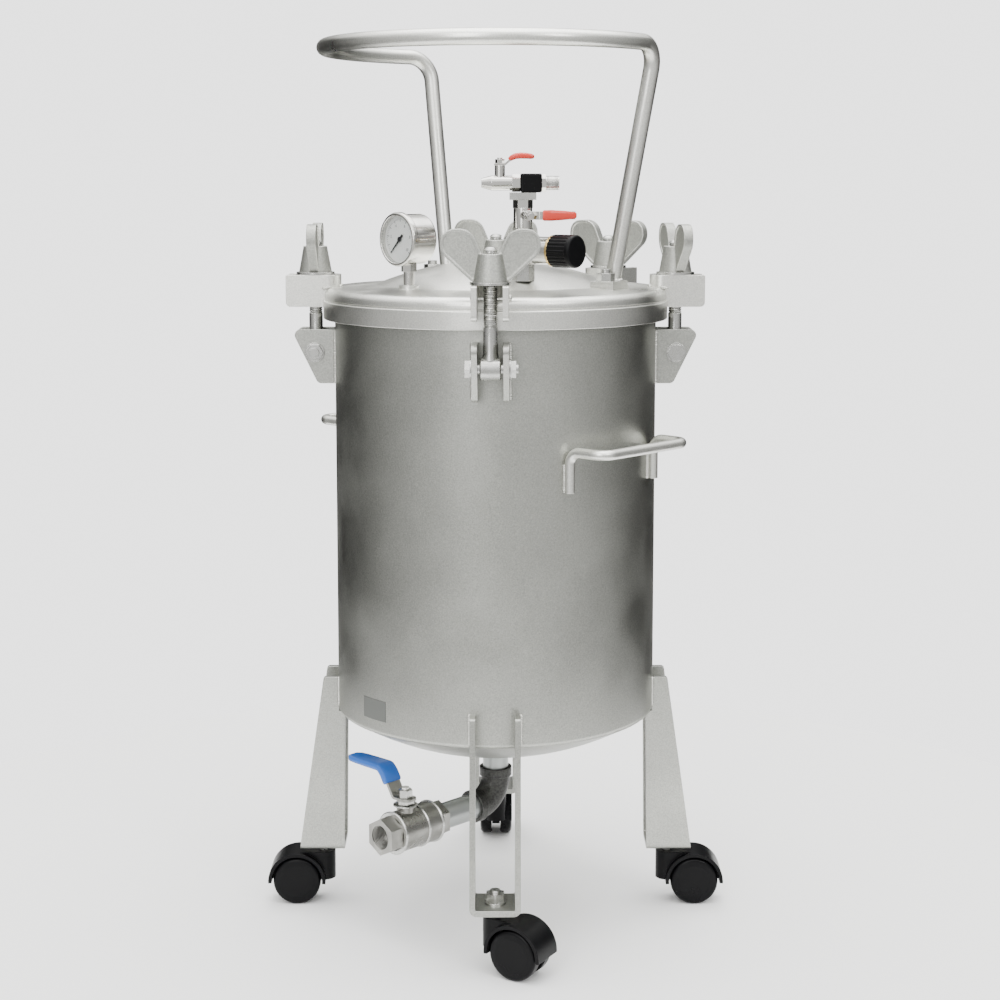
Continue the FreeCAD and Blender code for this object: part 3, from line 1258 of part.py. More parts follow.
export("lid_hoop", lid_hoop())
export("hoop_fasteners", *[make(azimuth)
                           for azimuth in HOOP_FOOT_AZIMUTHS for make in (hoop_stud, hoop_nut)])
export("side_handles", *[at_azimuth(side_handle(), azimuth) for azimuth in SIDE_HANDLE_AZIMUTHS])

for corner, leg_azimuth in LEG_AZIMUTHS.items():
    export("leg_" + corner, at_azimuth(leg(), leg_azimuth))
    export("caster_hood_" + corner, at_caster(caster_hood(), corner), at_caster(caster_axle(), corner))
    export("caster_wheels_" + corner, *[at_caster(caster_wheel(side), corner) for side in (-1, 1)])
export("caster_stems", *[at_azimuth(piece, azimuth)
                         for azimuth in LEG_AZIMUTHS.values()
                         for piece in [caster_stem()] + stem_fasteners()])

export("outlet_elbow", at_azimuth(outlet_elbow(), OUTLET_AZIMUTH))
export("outlet_pipes", outlet_nipple(), at_azimuth(outlet_pipe(), OUTLET_AZIMUTH))
export("drain_valve_body", at_azimuth(drain_valve_body(), OUTLET_AZIMUTH))
export("drain_ball", at_azimuth(drain_ball(), OUTLET_AZIMUTH))
export("drain_stem_nuts", *[at_azimuth(piece, OUTLET_AZIMUTH) for piece in drain_stem_fasteners()])
export("drain_lever", at_azimuth(drain_lever(), OUTLET_AZIMUTH))
export("drain_grip", at_azimuth(drain_grip(), OUTLET_AZIMUTH))

export("air_nipple", air_nipple())
export("regulator_body", regulator_body(), regulator_ring())
export("regulator_knob", regulator_knob())
export("supply_valve_body", supply_valve_body())
supply_stem, supply_strip, supply_nut, supply_sleeve = supply_lever_pieces()
export("supply_lever", supply_stem, supply_strip, supply_nut)
export("supply_grip", supply_sleeve)
export("tee_base", tee_base())
export("tee_block", tee_block())
export("air_inlet", air_inlet())
export("air_valve_body", air_valve_body())
air_stem, air_strip, air_nut, air_sleeve = air_lever_pieces()
export("air_lever", air_stem, air_strip, air_nut)
export("air_grip", air_sleeve)

export("gauge_case", gauge_case())
export("gauge_dial", gauge_dial())
export("gauge_needle", gauge_needle())
export("gauge_glass", gauge_glass())
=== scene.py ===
"""The looks of a forty-litre resin pressure pot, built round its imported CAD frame.

Lengths are metres in the frame of the CAD model: the floor is z = 0, the tank axis is the Z axis, the front
faces -Y. Each sub-assembly is a class with its sizes as fields, and each finish is a small frozen dataclass.
"""
from __future__ import annotations

import json
import logging
import math
from dataclasses import dataclass, field
from enum import Enum
from functools import cache
from typing import Callable, Iterable, Sequence

import bmesh
import bpy
from mathutils import Matrix, Vector


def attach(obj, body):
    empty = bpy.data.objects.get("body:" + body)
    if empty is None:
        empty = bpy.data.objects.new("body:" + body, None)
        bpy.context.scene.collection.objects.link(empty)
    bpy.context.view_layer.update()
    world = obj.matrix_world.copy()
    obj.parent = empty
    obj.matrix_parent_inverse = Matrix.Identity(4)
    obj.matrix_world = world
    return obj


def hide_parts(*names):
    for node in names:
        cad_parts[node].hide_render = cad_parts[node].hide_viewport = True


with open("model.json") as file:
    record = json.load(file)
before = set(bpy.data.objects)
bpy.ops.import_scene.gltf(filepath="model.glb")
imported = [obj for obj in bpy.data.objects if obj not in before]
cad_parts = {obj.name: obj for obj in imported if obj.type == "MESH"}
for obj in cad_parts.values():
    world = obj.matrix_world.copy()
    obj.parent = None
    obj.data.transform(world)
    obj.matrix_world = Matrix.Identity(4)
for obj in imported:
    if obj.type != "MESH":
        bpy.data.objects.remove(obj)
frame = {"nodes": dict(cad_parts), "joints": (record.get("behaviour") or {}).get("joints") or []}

LOG = logging.getLogger("pressure_pot")
UP = Vector((0.0, 0.0, 1.0))
MM = 0.001
Colour = tuple[float, float, float]
Node = bpy.types.Node
Socket = bpy.types.NodeSocket
Tree = bpy.types.NodeTree
Value = Socket | float | tuple[float, ...]
SOCKET_OF = {float: "NodeSocketFloat", int: "NodeSocketInt"}


# ---------------------------------------------------------------- reading the frame

class Clamp(Enum):
    """The five lid clamps, by the names that the frame uses."""

    RIGHT = "right"
    REAR_RIGHT = "rear_right"
    BACK = "back"
    LEFT = "left"
    FRONT = "front"


class Corner(Enum):
    """The four legs, by the names that the frame uses."""

    RIGHT = "right"
    BACK = "back"
    LEFT = "left"
    FRONT = "front"


def joint(name: str) -> dict:
    """The frame's joint of that name."""
    return next(entry for entry in frame["joints"] if entry["name"] == name)


def joint_place(name: str) -> Vector:
    """A hinge's point at rest."""
    return Vector(joint(name)["pos_m"])


def joint_axis(name: str) -> Vector:
    """A joint's unit axis."""
    return Vector(joint(name)["axis"]).normalized()


def extent(node: str, direction: Vector) -> tuple[float, float]:
    """How far a CAD node reaches along a direction.

    Args:
        node: The CAD node's name.
        direction: A unit direction.

    Returns:
        The least and the greatest distance from the origin along the direction.
    """
    distances = [vertex.co.dot(direction) for vertex in frame["nodes"][node].data.vertices]
    return min(distances), max(distances)


def heading(azimuth: float) -> Vector:
    """Level unit direction at an azimuth in radians."""
    return Vector((math.cos(azimuth), math.sin(azimuth), 0.0))


def azimuth_of(place: Vector) -> float:
    """Azimuth of a point about the tank axis, in radians."""
    return math.atan2(place.y, place.x)


def basis(x_axis: Vector, y_axis: Vector, z_axis: Vector, origin: Vector) -> Matrix:
    """Matrix that takes a local frame to three unit axes at an origin."""
    matrix = Matrix((x_axis, y_axis, z_axis)).transposed().to_4x4()
    matrix.translation = origin
    return matrix


def frame_along(direction: Vector, origin: Vector) -> Matrix:
    """Matrix that turns local +Z to a direction and moves the origin to a point."""
    return Matrix.Translation(origin) @ direction.to_track_quat("Z", "Y").to_matrix().to_4x4()


# ---------------------------------------------------------------- node trees

def new_tree(kind: str, name: str, inputs: dict[str, float | int | str], outputs: dict[str, str]) -> Tree:
    """Start an empty node group.

    Args:
        kind: The group's type, for shading or for geometry.
        name: The group's name.
        inputs: For each input its default number, or its socket type where it has none.
        outputs: Socket type for each output.

    Returns:
        The group, with its input and output nodes in it.
    """
    tree = bpy.data.node_groups.new(name, kind)
    for label, value in inputs.items():
        socket_type = value if isinstance(value, str) else SOCKET_OF[type(value)]
        socket = tree.interface.new_socket(label, in_out="INPUT", socket_type=socket_type)
        if not isinstance(value, str):
            socket.default_value = value
    for label, socket_type in outputs.items():
        tree.interface.new_socket(label, in_out="OUTPUT", socket_type=socket_type)
    tree.nodes.new("NodeGroupInput").name = "in"
    tree.nodes.new("NodeGroupOutput").name = "out"
    return tree


def feed(tree: Tree, node: Node, values: dict[str | int, Value]) -> None:
    """Link or set a node's inputs, each by its label or its number."""
    for label, value in values.items():
        if isinstance(value, Socket):
            tree.links.new(value, node.inputs[label])
        else:
            node.inputs[label].default_value = value


def add_node(tree: Tree, kind: str, values: dict[str | int, Value], **settings: object) -> Node:
    """Add a node to a tree.

    Args:
        tree: The tree.
        kind: The node's type.
        values: What its inputs get.
        settings: The node's own properties, set before its inputs.

    Returns:
        The node.
    """
    node = tree.nodes.new(kind)
    for name, setting in settings.items():
        setattr(node, name, setting)
    feed(tree, node, values)
    return node


def noise(tree: Tree, vector: Socket, scale: Value, detail: float, roughness: float) -> Socket:
    """Noise read at a vector."""
    values = {"Vector": vector, "Scale": scale, "Detail": detail, "Roughness": roughness}
    return add_node(tree, "ShaderNodeTexNoise", values).outputs["Fac"]


def arithmetic(tree: Tree, operation: str, first: Value, second: Value, clamp: bool = False) -> Socket:
    """Result of a Math node on two values, held between 0 and 1 if it is clamped."""
    values = {0: first, 1: second}
    return add_node(tree, "ShaderNodeMath", values, operation=operation, use_clamp=clamp).outputs[0]


def blend_colours(tree: Tree, factor: Socket, first: Socket | Colour, second: Socket | Colour) -> Socket:
    """Mix of two colours by a factor that changes over the surface."""
    first, second = ((*colour, 1.0) if isinstance(colour, tuple) else colour for colour in (first, second))
    return add_node(tree, "ShaderNodeMix", {0: factor, 6: first, 7: second}, data_type="RGBA").outputs[2]


def map_range(tree: Tree, value: Socket, low: float, high: float,
              source: tuple[float, float] = (0.3, 0.7)) -> Socket:
    """A value from one span, spread over another."""
    return add_node(tree, "ShaderNodeMapRange", {
        "Value": value, "From Min": source[0], "From Max": source[1], "To Min": low, "To Max": high,
    }).outputs["Result"]


@cache
def grain_group() -> Tree:
    """Fine blasted or moulded grain, with a slow cloud over it."""
    tree = new_tree(
        "ShaderNodeTree", "surface_grain",
        {"Vector": "NodeSocketVector", "Grains Per Metre": 900.0, "Clouds Per Metre": 14.0},
        {"Grain": "NodeSocketFloat", "Cloud": "NodeSocketFloat"})
    given = tree.nodes["in"].outputs
    feed(tree, tree.nodes["out"], {
        "Grain": noise(tree, given["Vector"], given["Grains Per Metre"], detail=2.0, roughness=0.65),
        "Cloud": noise(tree, given["Vector"], given["Clouds Per Metre"], detail=3.0, roughness=0.55)})
    return tree


@cache
def edge_wear_group() -> Tree:
    """Rounded-edge normal, and a broken mask along the edges, for edge wear and for painted edge highlights."""
    tree = new_tree(
        "ShaderNodeTree", "worn_and_highlighted_edges", {"Vector": "NodeSocketVector", "Radius": 0.001, "Gain": 4.0},
        {"Mask": "NodeSocketFloat", "Normal": "NodeSocketVector"})
    given = tree.nodes["in"].outputs
    rounded = add_node(tree, "ShaderNodeBevel", {"Radius": given["Radius"]}, samples=6).outputs["Normal"]
    surface = tree.nodes.new("ShaderNodeNewGeometry").outputs["Normal"]
    dot = add_node(tree, "ShaderNodeVectorMath", {0: rounded, 1: surface}, operation="DOT_PRODUCT")
    gap = arithmetic(tree, "SUBTRACT", 1.0, dot.outputs["Value"])
    gained = arithmetic(tree, "MULTIPLY", gap, given["Gain"])
    breaks = noise(tree, given["Vector"], 260.0, detail=2.0, roughness=0.6)
    mask = arithmetic(tree, "MULTIPLY", gained, breaks, clamp=True)
    feed(tree, tree.nodes["out"], {"Mask": mask, "Normal": rounded})
    return tree


def start_repeater(name: str, sizes: dict[str, float | int]) -> Tree:
    """Begin a Geometry Nodes tree with a geometry input, named sizes and a material."""
    return new_tree(
        "GeometryNodeTree", name,
        {"Geometry": "NodeSocketGeometry", **sizes, "Material": "NodeSocketMaterial"},
        {"Geometry": "NodeSocketGeometry"})


def close_repeater(tree: Tree, geometry: Socket) -> None:
    """End a Geometry Nodes tree: realize its instances and set its material."""
    realize = add_node(tree, "GeometryNodeRealizeInstances", {"Geometry": geometry})
    paint = add_node(tree, "GeometryNodeSetMaterial", {
        "Geometry": realize.outputs["Geometry"], "Material": tree.nodes["in"].outputs["Material"]})
    feed(tree, tree.nodes["out"], {"Geometry": paint.outputs["Geometry"]})


@cache
def weld_bead_tree() -> Tree:
    """Overlapping flattened drops along a path of edges, as a weld lays them."""
    tree = start_repeater("weld_bead", {
        "Drop Radius": 0.0022, "Drop Spacing": 0.0018, "Unevenness": 0.18, "Seed": 3})
    given = tree.nodes["in"].outputs
    curve = add_node(tree, "GeometryNodeMeshToCurve", {"Mesh": given["Geometry"]})
    sample = add_node(tree, "GeometryNodeCurveToPoints", {
        "Curve": curve.outputs["Curve"], "Length": given["Drop Spacing"]}, mode="LENGTH")
    drop = add_node(tree, "GeometryNodeMeshIcoSphere", {"Radius": given["Drop Radius"], "Subdivisions": 2})
    low = arithmetic(tree, "SUBTRACT", 1.0, given["Unevenness"])
    high = arithmetic(tree, "ADD", 1.0, given["Unevenness"])
    size = add_node(tree, "FunctionNodeRandomValue", {2: low, 3: high, "Seed": given["Seed"]}).outputs[1]
    scale = add_node(tree, "ShaderNodeCombineXYZ", {"X": size, "Y": size, "Z": 0.8})
    place = add_node(tree, "GeometryNodeInstanceOnPoints", {
        "Points": sample.outputs["Points"], "Instance": drop.outputs["Mesh"],
        "Rotation": sample.outputs["Rotation"], "Scale": scale.outputs["Vector"]})
    close_repeater(tree, place.outputs["Instances"])
    return tree


@cache
def screw_thread_tree() -> Tree:
    """Helical ridge up Z from the origin."""
    tree = start_repeater("screw_thread_mesh", {
        "Root Radius": 0.006, "Ridge": 0.001, "Turns": 10.0, "Length": 0.02, "Resolution": 24})
    given = tree.nodes["in"].outputs
    spiral = add_node(tree, "GeometryNodeCurveSpiral", {
        "Resolution": given["Resolution"], "Rotations": given["Turns"], "Start Radius": given["Root Radius"],
        "End Radius": given["Root Radius"], "Height": given["Length"]})
    profile = add_node(tree, "GeometryNodeCurvePrimitiveCircle", {"Resolution": 4, "Radius": given["Ridge"]})
    sweep = add_node(tree, "GeometryNodeCurveToMesh", {
        "Curve": spiral.outputs["Curve"], "Profile Curve": profile.outputs["Curve"], "Fill Caps": True})
    close_repeater(tree, sweep.outputs["Mesh"])
    return tree


@cache
def fan_tree() -> Tree:
    """Copies of the input geometry turned about Z by equal steps."""
    tree = start_repeater("fan_of_copies", {"Count": 12, "First Angle": 0.0, "Step Angle": math.pi / 6})
    given = tree.nodes["in"].outputs
    line = add_node(tree, "GeometryNodeMeshLine", {"Offset": (0.0, 0.0, 0.0), "Count": given["Count"]},
                    mode="OFFSET")
    index = tree.nodes.new("GeometryNodeInputIndex").outputs["Index"]
    swing = arithmetic(tree, "MULTIPLY", index, given["Step Angle"])
    angle = arithmetic(tree, "ADD", swing, given["First Angle"])
    turn = add_node(tree, "ShaderNodeCombineXYZ", {"Z": angle})
    place = add_node(tree, "GeometryNodeInstanceOnPoints", {
        "Points": line.outputs["Mesh"], "Instance": given["Geometry"], "Rotation": turn.outputs["Vector"]})
    close_repeater(tree, place.outputs["Instances"])
    return tree


# ---------------------------------------------------------------- finishes

def scaled(colour: Colour, factor: float) -> Colour:
    """A colour made lighter or darker."""
    return tuple(min(1.0, part * factor) for part in colour)


@dataclass(frozen=True)
class Finish:
    """A surface finish: colour, gloss, grain, and wear and painted highlights along edges."""

    name: str
    slot: str
    colour: Colour
    metallic: float = 1.0
    roughness: float = 0.4
    roughness_spread: float = 0.08
    grains_per_metre: float = 1100.0
    clouds_per_metre: float = 12.0
    grain_depth: float = 0.05 * MM
    grain_contrast: float = 0.10
    cloud_contrast: float = 0.05
    edge_radius: float = 0.6 * MM
    edge_gain: float = 3.0
    # Colour laid along edges by the edge mask: edge wear on most finishes, a painted highlight on the wing nuts'
    # rims.
    edge_colour: Colour = (0.85, 0.85, 0.82)
    coat: float = 0.0
    specular: float = 0.5

    def material(self) -> bpy.types.Material:
        """The finish's material, built the first time it is asked for."""
        existing = bpy.data.materials.get(self.name)
        return existing or self.build()

    def build(self) -> bpy.types.Material:
        """Build the material's node tree."""
        material = bpy.data.materials.new(self.name)
        material.use_nodes = True
        material.diffuse_color = (*self.colour, 1.0)
        tree = material.node_tree
        place = tree.nodes.new("ShaderNodeTexCoord").outputs["Object"]
        grain = add_node(tree, "ShaderNodeGroup", {
            "Vector": place, "Grains Per Metre": self.grains_per_metre,
            "Clouds Per Metre": self.clouds_per_metre,
        }, node_tree=grain_group()).outputs
        edge = add_node(tree, "ShaderNodeGroup", {
            "Vector": place, "Radius": self.edge_radius, "Gain": self.edge_gain,
        }, node_tree=edge_wear_group()).outputs
        speckled = blend_colours(
            tree, map_range(tree, grain["Grain"], 0.0, 1.0),
            scaled(self.colour, 1 - self.grain_contrast), scaled(self.colour, 1 + self.grain_contrast))
        clouded = blend_colours(
            tree, map_range(tree, grain["Cloud"], 0.0, self.cloud_contrast * 4),
            speckled, scaled(self.colour, 0.7))
        low, high = self.roughness - self.roughness_spread, self.roughness + self.roughness_spread
        bump = add_node(tree, "ShaderNodeBump", {
            "Distance": self.grain_depth, "Strength": 1.0, "Height": grain["Grain"],
            "Normal": edge["Normal"]})
        # Along edges the base colour turns to the edge colour: wear, and on the wing nuts a painted highlight.
        feed(tree, tree.nodes["Principled BSDF"], {
            "Base Color": blend_colours(tree, edge["Mask"], clouded, self.edge_colour),
            "Roughness": map_range(tree, grain["Cloud"], low, high), "Normal": bump.outputs["Normal"],
            "Metallic": self.metallic, "Specular IOR Level": self.specular, "Coat Weight": self.coat,
            "Coat Roughness": 0.12})
        return material


@dataclass(frozen=True)
class Coating(Finish):
    """A finish that isn't bare metal."""

    metallic: float = 0.0


@dataclass(frozen=True)
class Vinyl(Coating):
    """Dipped plastic on a lever."""

    grain_depth: float = 0.01 * MM
    grain_contrast: float = 0.05
    edge_gain: float = 0.6
    coat: float = 0.1
    specular: float = 0.12


@dataclass(frozen=True)
class Glass(Finish):
    """Clear window glass with faint smears."""

    def build(self) -> bpy.types.Material:
        """Build the material's node tree."""
        material = bpy.data.materials.new(self.name)
        material.use_nodes = True
        tree = material.node_tree
        place = tree.nodes.new("ShaderNodeTexCoord").outputs["Object"]
        smears = add_node(tree, "ShaderNodeGroup", {
            "Vector": place, "Clouds Per Metre": self.clouds_per_metre}, node_tree=grain_group())
        feed(tree, tree.nodes["Principled BSDF"], {
            "Base Color": (*self.colour, 1.0), "Transmission Weight": 1.0, "IOR": 1.12,
            "Roughness": map_range(tree, smears.outputs["Cloud"], 0.0, self.roughness)})
        return material


BLASTED = Finish(
    "blasted_stainless", "blasted_steel", (0.42, 0.425, 0.395), roughness=0.36, grain_depth=0.10 * MM,
    grain_contrast=0.20, cloud_contrast=0.03, edge_radius=0.9 * MM, edge_gain=2.0,
    edge_colour=(0.66, 0.66, 0.63), grains_per_metre=760.0)
# The tank's blasted steel, painted lighter: the lighter colour is painted light, standing in for light from above
# on the lid, its lugs and hoop, and the side handles.
BLASTED_PAINTED_LIGHTER = Finish(
    "blasted_stainless_painted_lighter", "blasted_steel", (0.80, 0.80, 0.755), roughness=0.34, grain_depth=0.07 * MM,
    grain_contrast=0.14, cloud_contrast=0.03, edge_radius=0.9 * MM, edge_gain=2.0,
    edge_colour=(0.88, 0.88, 0.85), grains_per_metre=760.0)
# The wide, strong edge mask and light edge colour paint highlights on the wing nuts' raised rims.
CAST = Finish(
    "cast_wing_steel", "cast_steel", (0.42, 0.425, 0.395), roughness=0.5, grain_depth=0.24 * MM,
    grain_contrast=0.20, edge_radius=2.2 * MM, edge_gain=5.0, grains_per_metre=620.0,
    edge_colour=(0.86, 0.86, 0.82))
WELD = Finish(
    "weld_metal", "blasted_steel", (0.62, 0.62, 0.58), roughness=0.34, cloud_contrast=0.08,
    clouds_per_metre=120.0)
ZINC = Finish(
    "bright_zinc", "zinc_steel", (0.55, 0.55, 0.53), roughness=0.26, roughness_spread=0.1,
    clouds_per_metre=90.0, cloud_contrast=0.12, grain_depth=0.02 * MM, edge_gain=2.0)
STAINLESS_CAST = Finish(
    "investment_cast", "stainless_cast", (0.33, 0.325, 0.305), roughness=0.33, roughness_spread=0.1,
    clouds_per_metre=60.0, cloud_contrast=0.12, grain_depth=0.08 * MM, edge_radius=0.8 * MM)
CHROME = Finish(
    "nickel_plate", "chrome", (0.66, 0.65, 0.62), roughness=0.13, roughness_spread=0.05,
    clouds_per_metre=80.0, grain_depth=0.01 * MM, grain_contrast=0.02, edge_radius=0.5 * MM, edge_gain=1.0)
BRASS = Finish(
    "brass_ring", "chrome", (0.72, 0.52, 0.22), roughness=0.25, grain_depth=0.02 * MM,
    edge_colour=(0.9, 0.75, 0.45))
MALLEABLE = Finish(
    "malleable_iron", "cast_iron", (0.07, 0.07, 0.067), roughness=0.52, grain_depth=0.3 * MM,
    grain_contrast=0.3, grains_per_metre=500.0, edge_radius=1.2 * MM, edge_gain=1.5, edge_colour=(0.34, 0.34, 0.33))
PIPE = Finish(
    "galvanised_pipe", "galvanised_pipe", (0.085, 0.093, 0.093), roughness=0.42, grain_depth=0.12 * MM,
    grain_contrast=0.2, clouds_per_metre=45.0, cloud_contrast=0.16, edge_colour=(0.25, 0.26, 0.26))
BLACK = Coating(
    "black_nylon", "black_plastic", (0.003, 0.003, 0.0035), roughness=0.3, grain_depth=0.02 * MM,
    edge_radius=0.8 * MM, edge_gain=0.8, edge_colour=(0.02, 0.02, 0.022), specular=0.12)
BLUE = Vinyl(
    "blue_vinyl", "blue_vinyl", (0.0003, 0.018, 0.13), roughness=0.24, edge_colour=(0.002, 0.03, 0.18))
RED = Vinyl(
    "red_vinyl", "red_vinyl", (0.062, 0.0003, 0.0003), roughness=0.26, edge_colour=(0.075, 0.0006, 0.0006))
RUBBER = Coating(
    "gasket_rubber", "gasket_rubber", (0.03, 0.03, 0.03), roughness=0.6, edge_gain=0.3,
    edge_colour=(0.06, 0.06, 0.06))
DIAL = Coating(
    "dial_paint", "dial_white", (0.88, 0.88, 0.86), roughness=0.5, grain_depth=0.004 * MM,
    grain_contrast=0.01, edge_gain=0.0)
INK = Coating(
    "dial_ink", "needle_black", (0.012, 0.012, 0.014), roughness=0.45, grain_depth=0.004 * MM, edge_gain=0.0)
STICKER = Coating(
    "sticker_paper", "dial_white", (0.115, 0.12, 0.112), roughness=0.38, grain_depth=0.01 * MM,
    grain_contrast=0.03, edge_gain=0.0)
GLASS = Glass("window_glass", "gauge_glass", (0.97, 0.98, 0.98), roughness=0.06, clouds_per_metre=90.0)


def dress(finish: Finish, *nodes: str) -> None:
    """Give CAD nodes a finish."""
    material = finish.material()
    for node in nodes:
        cad = frame["nodes"][node]
        if not cad.material_slots:
            cad.data.materials.append(material)
        for slot in cad.material_slots:
            slot.material = material


# ---------------------------------------------------------------- meshes

def add_piece(name: str, mesh: bpy.types.Mesh, body: str, finish: Finish,
              smooth: bool = True) -> bpy.types.Object:
    """Put a finished mesh in the scene as a piece of the object.

    Args:
        name: The piece's name.
        mesh: Its mesh, already in place.
        body: The CAD body that it rides on.
        finish: Its finish.
        smooth: Whether its faces are shaded smooth, except at sharp angles.

    Returns:
        The new object.
    """
    mesh.name = name
    mesh.materials.clear()
    mesh.materials.append(finish.material())
    if smooth:
        mesh.shade_smooth()
        mesh.set_sharp_from_angle(angle=math.radians(38))
    piece = bpy.data.objects.new(name, mesh)
    bpy.context.scene.collection.objects.link(piece)
    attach(piece, body)
    LOG.info("%s: %d faces on %s", name, len(mesh.polygons), body)
    return piece


def mesh_from(work: bmesh.types.BMesh, matrix: Matrix | None = None) -> bpy.types.Mesh:
    """Turn a bmesh into a mesh, moved to its place, its faces pointing outwards."""
    bmesh.ops.recalc_face_normals(work, faces=work.faces)
    if matrix is not None:
        work.transform(matrix)
    mesh = bpy.data.meshes.new("piece")
    work.to_mesh(mesh)
    work.free()
    return mesh


def lathe(work: bmesh.types.BMesh, outline: Sequence[tuple[float, float]], steps: int = 64,
          matrix: Matrix | None = None) -> None:
    """Spin an outline of (radius, height) about Z into a closed skin.

    Args:
        work: The mesh that the skin is added to.
        outline: Points from one end to the other; a zero radius closes an end with a pole.
        steps: Faces round the axis.
        matrix: Where the skin goes.
    """
    place = matrix or Matrix.Identity(4)
    rings = []
    for radius, height in outline:
        if radius < 1e-7:
            rings.append([work.verts.new(place @ Vector((0.0, 0.0, height)))])
            continue
        ring = []
        for step in range(steps):
            spoke = heading(2 * math.pi * step / steps) * radius
            ring.append(work.verts.new(place @ Vector((spoke.x, spoke.y, height))))
        rings.append(ring)
    for lower, upper in zip(rings, rings[1:]):
        for step in range(steps):
            following = (step + 1) % steps
            corners = [lower[step % len(lower)], lower[following % len(lower)],
                       upper[following % len(upper)], upper[step % len(upper)]]
            distinct = list(dict.fromkeys(corners))
            if len(distinct) > 2:
                work.faces.new(distinct)


def band(work: bmesh.types.BMesh, inner: float, outer: float, span: tuple[float, float],
         matrix: Matrix, chamfer: float = 0.4 * MM) -> None:
    """Add a ring with softened outer edges.

    Args:
        work: The mesh that the ring is added to.
        inner: The ring's inner radius.
        outer: The ring's outer radius.
        span: Where the ring starts and ends along the matrix's Z axis.
        matrix: The ring's own frame.
        chamfer: The size of its outer chamfers.
    """
    start, end = span
    lathe(work, [
        (inner, start), (outer - chamfer, start), (outer, start + chamfer), (outer, end - chamfer),
        (outer - chamfer, end), (inner, end), (inner, start)], 56, matrix)


def rounded_power(value: float, squareness: float) -> float:
    """A sine or cosine drawn towards a rounded square."""
    return math.copysign(abs(value) ** (2 / squareness), value)


def sleeve_mesh(stations: Sequence[tuple[float, float, float, float]], matrix: Matrix, corners: int = 24,
                squareness: float = 3.2) -> bpy.types.Mesh:
    """Dipped plastic sleeve along a lever, closed at both ends.

    Args:
        stations: Sections as (along, up, half width, half thickness) in the lever's frame.
        matrix: The lever's frame: X along it, Y across it and Z away from the valve.
        corners: Points round a section.
        squareness: How near a section is to a rectangle.

    Returns:
        The sleeve's mesh, in place.
    """
    work = bmesh.new()
    rings = []
    for index, (along, rise, half_width, half_thickness) in enumerate(stations):
        before = stations[max(index - 1, 0)]
        after = stations[min(index + 1, len(stations) - 1)]
        slope = math.atan2(after[1] - before[1], after[0] - before[0])
        ring = []
        for corner in range(corners):
            turn = 2 * math.pi * corner / corners
            across = rounded_power(math.cos(turn), squareness) * half_width
            lift = rounded_power(math.sin(turn), squareness) * half_thickness
            place = (along - lift * math.sin(slope), across, rise + lift * math.cos(slope))
            ring.append(work.verts.new(place))
        rings.append(ring)
    for lower, upper in zip(rings, rings[1:]):
        for corner in range(corners):
            following = (corner + 1) % corners
            work.faces.new((lower[corner], lower[following], upper[following], upper[corner]))
    work.faces.new(rings[0])
    work.faces.new(rings[-1])
    return mesh_from(work, matrix)


def lever_frame(joint_name: str, along: Vector, away: Vector) -> Matrix:
    """Frame of a lever on its stem: X along the lever and Z away from the valve."""
    return basis(along, away.cross(along), away, joint_place(joint_name))


def grow(mesh: bpy.types.Mesh | None, tree: Tree, sizes: dict[str, float | int], finish: Finish,
         matrix: Matrix | None = None) -> bpy.types.Mesh:
    """Run a Geometry Nodes tree on a mesh and keep the result as a plain mesh.

    Args:
        mesh: The mesh that the tree starts from, or None where the tree needs none.
        tree: The tree.
        sizes: The value of each named input.
        finish: The finish of the result.
        matrix: Where the result goes.

    Returns:
        The evaluated mesh, with no modifier left.
    """
    carrier = bpy.data.objects.new("carrier", mesh or bpy.data.meshes.new("empty"))
    bpy.context.scene.collection.objects.link(carrier)
    modifier = carrier.modifiers.new("repeat", "NODES")
    modifier.node_group = tree
    for item in tree.interface.items_tree:
        if item.item_type != "SOCKET" or item.in_out != "INPUT":
            continue
        if item.name in sizes:
            modifier[item.identifier] = sizes[item.name]
        if item.name == "Material":
            modifier[item.identifier] = finish.material()
    result = baked(carrier)
    if matrix is not None:
        result.transform(matrix)
    return result


def baked(carrier: bpy.types.Object) -> bpy.types.Mesh:
    """Final mesh of an object, which is then removed."""
    bpy.context.view_layer.update()
    graph = bpy.context.evaluated_depsgraph_get()
    mesh = bpy.data.meshes.new_from_object(carrier.evaluated_get(graph))
    bpy.data.objects.remove(carrier)
    return mesh


def path_mesh(paths: Iterable[Sequence[Vector]]) -> bpy.types.Mesh:
    """Mesh of edges along each path."""
    points, edges = [], []
    for path in paths:
        first = len(points)
        points += [tuple(place) for place in path]
        edges += [(first + step, first + step + 1) for step in range(len(path) - 1)]
    mesh = bpy.data.meshes.new("paths")
    mesh.from_pydata(points, edges, [])
    return mesh


# ---------------------------------------------------------------- tank and lid

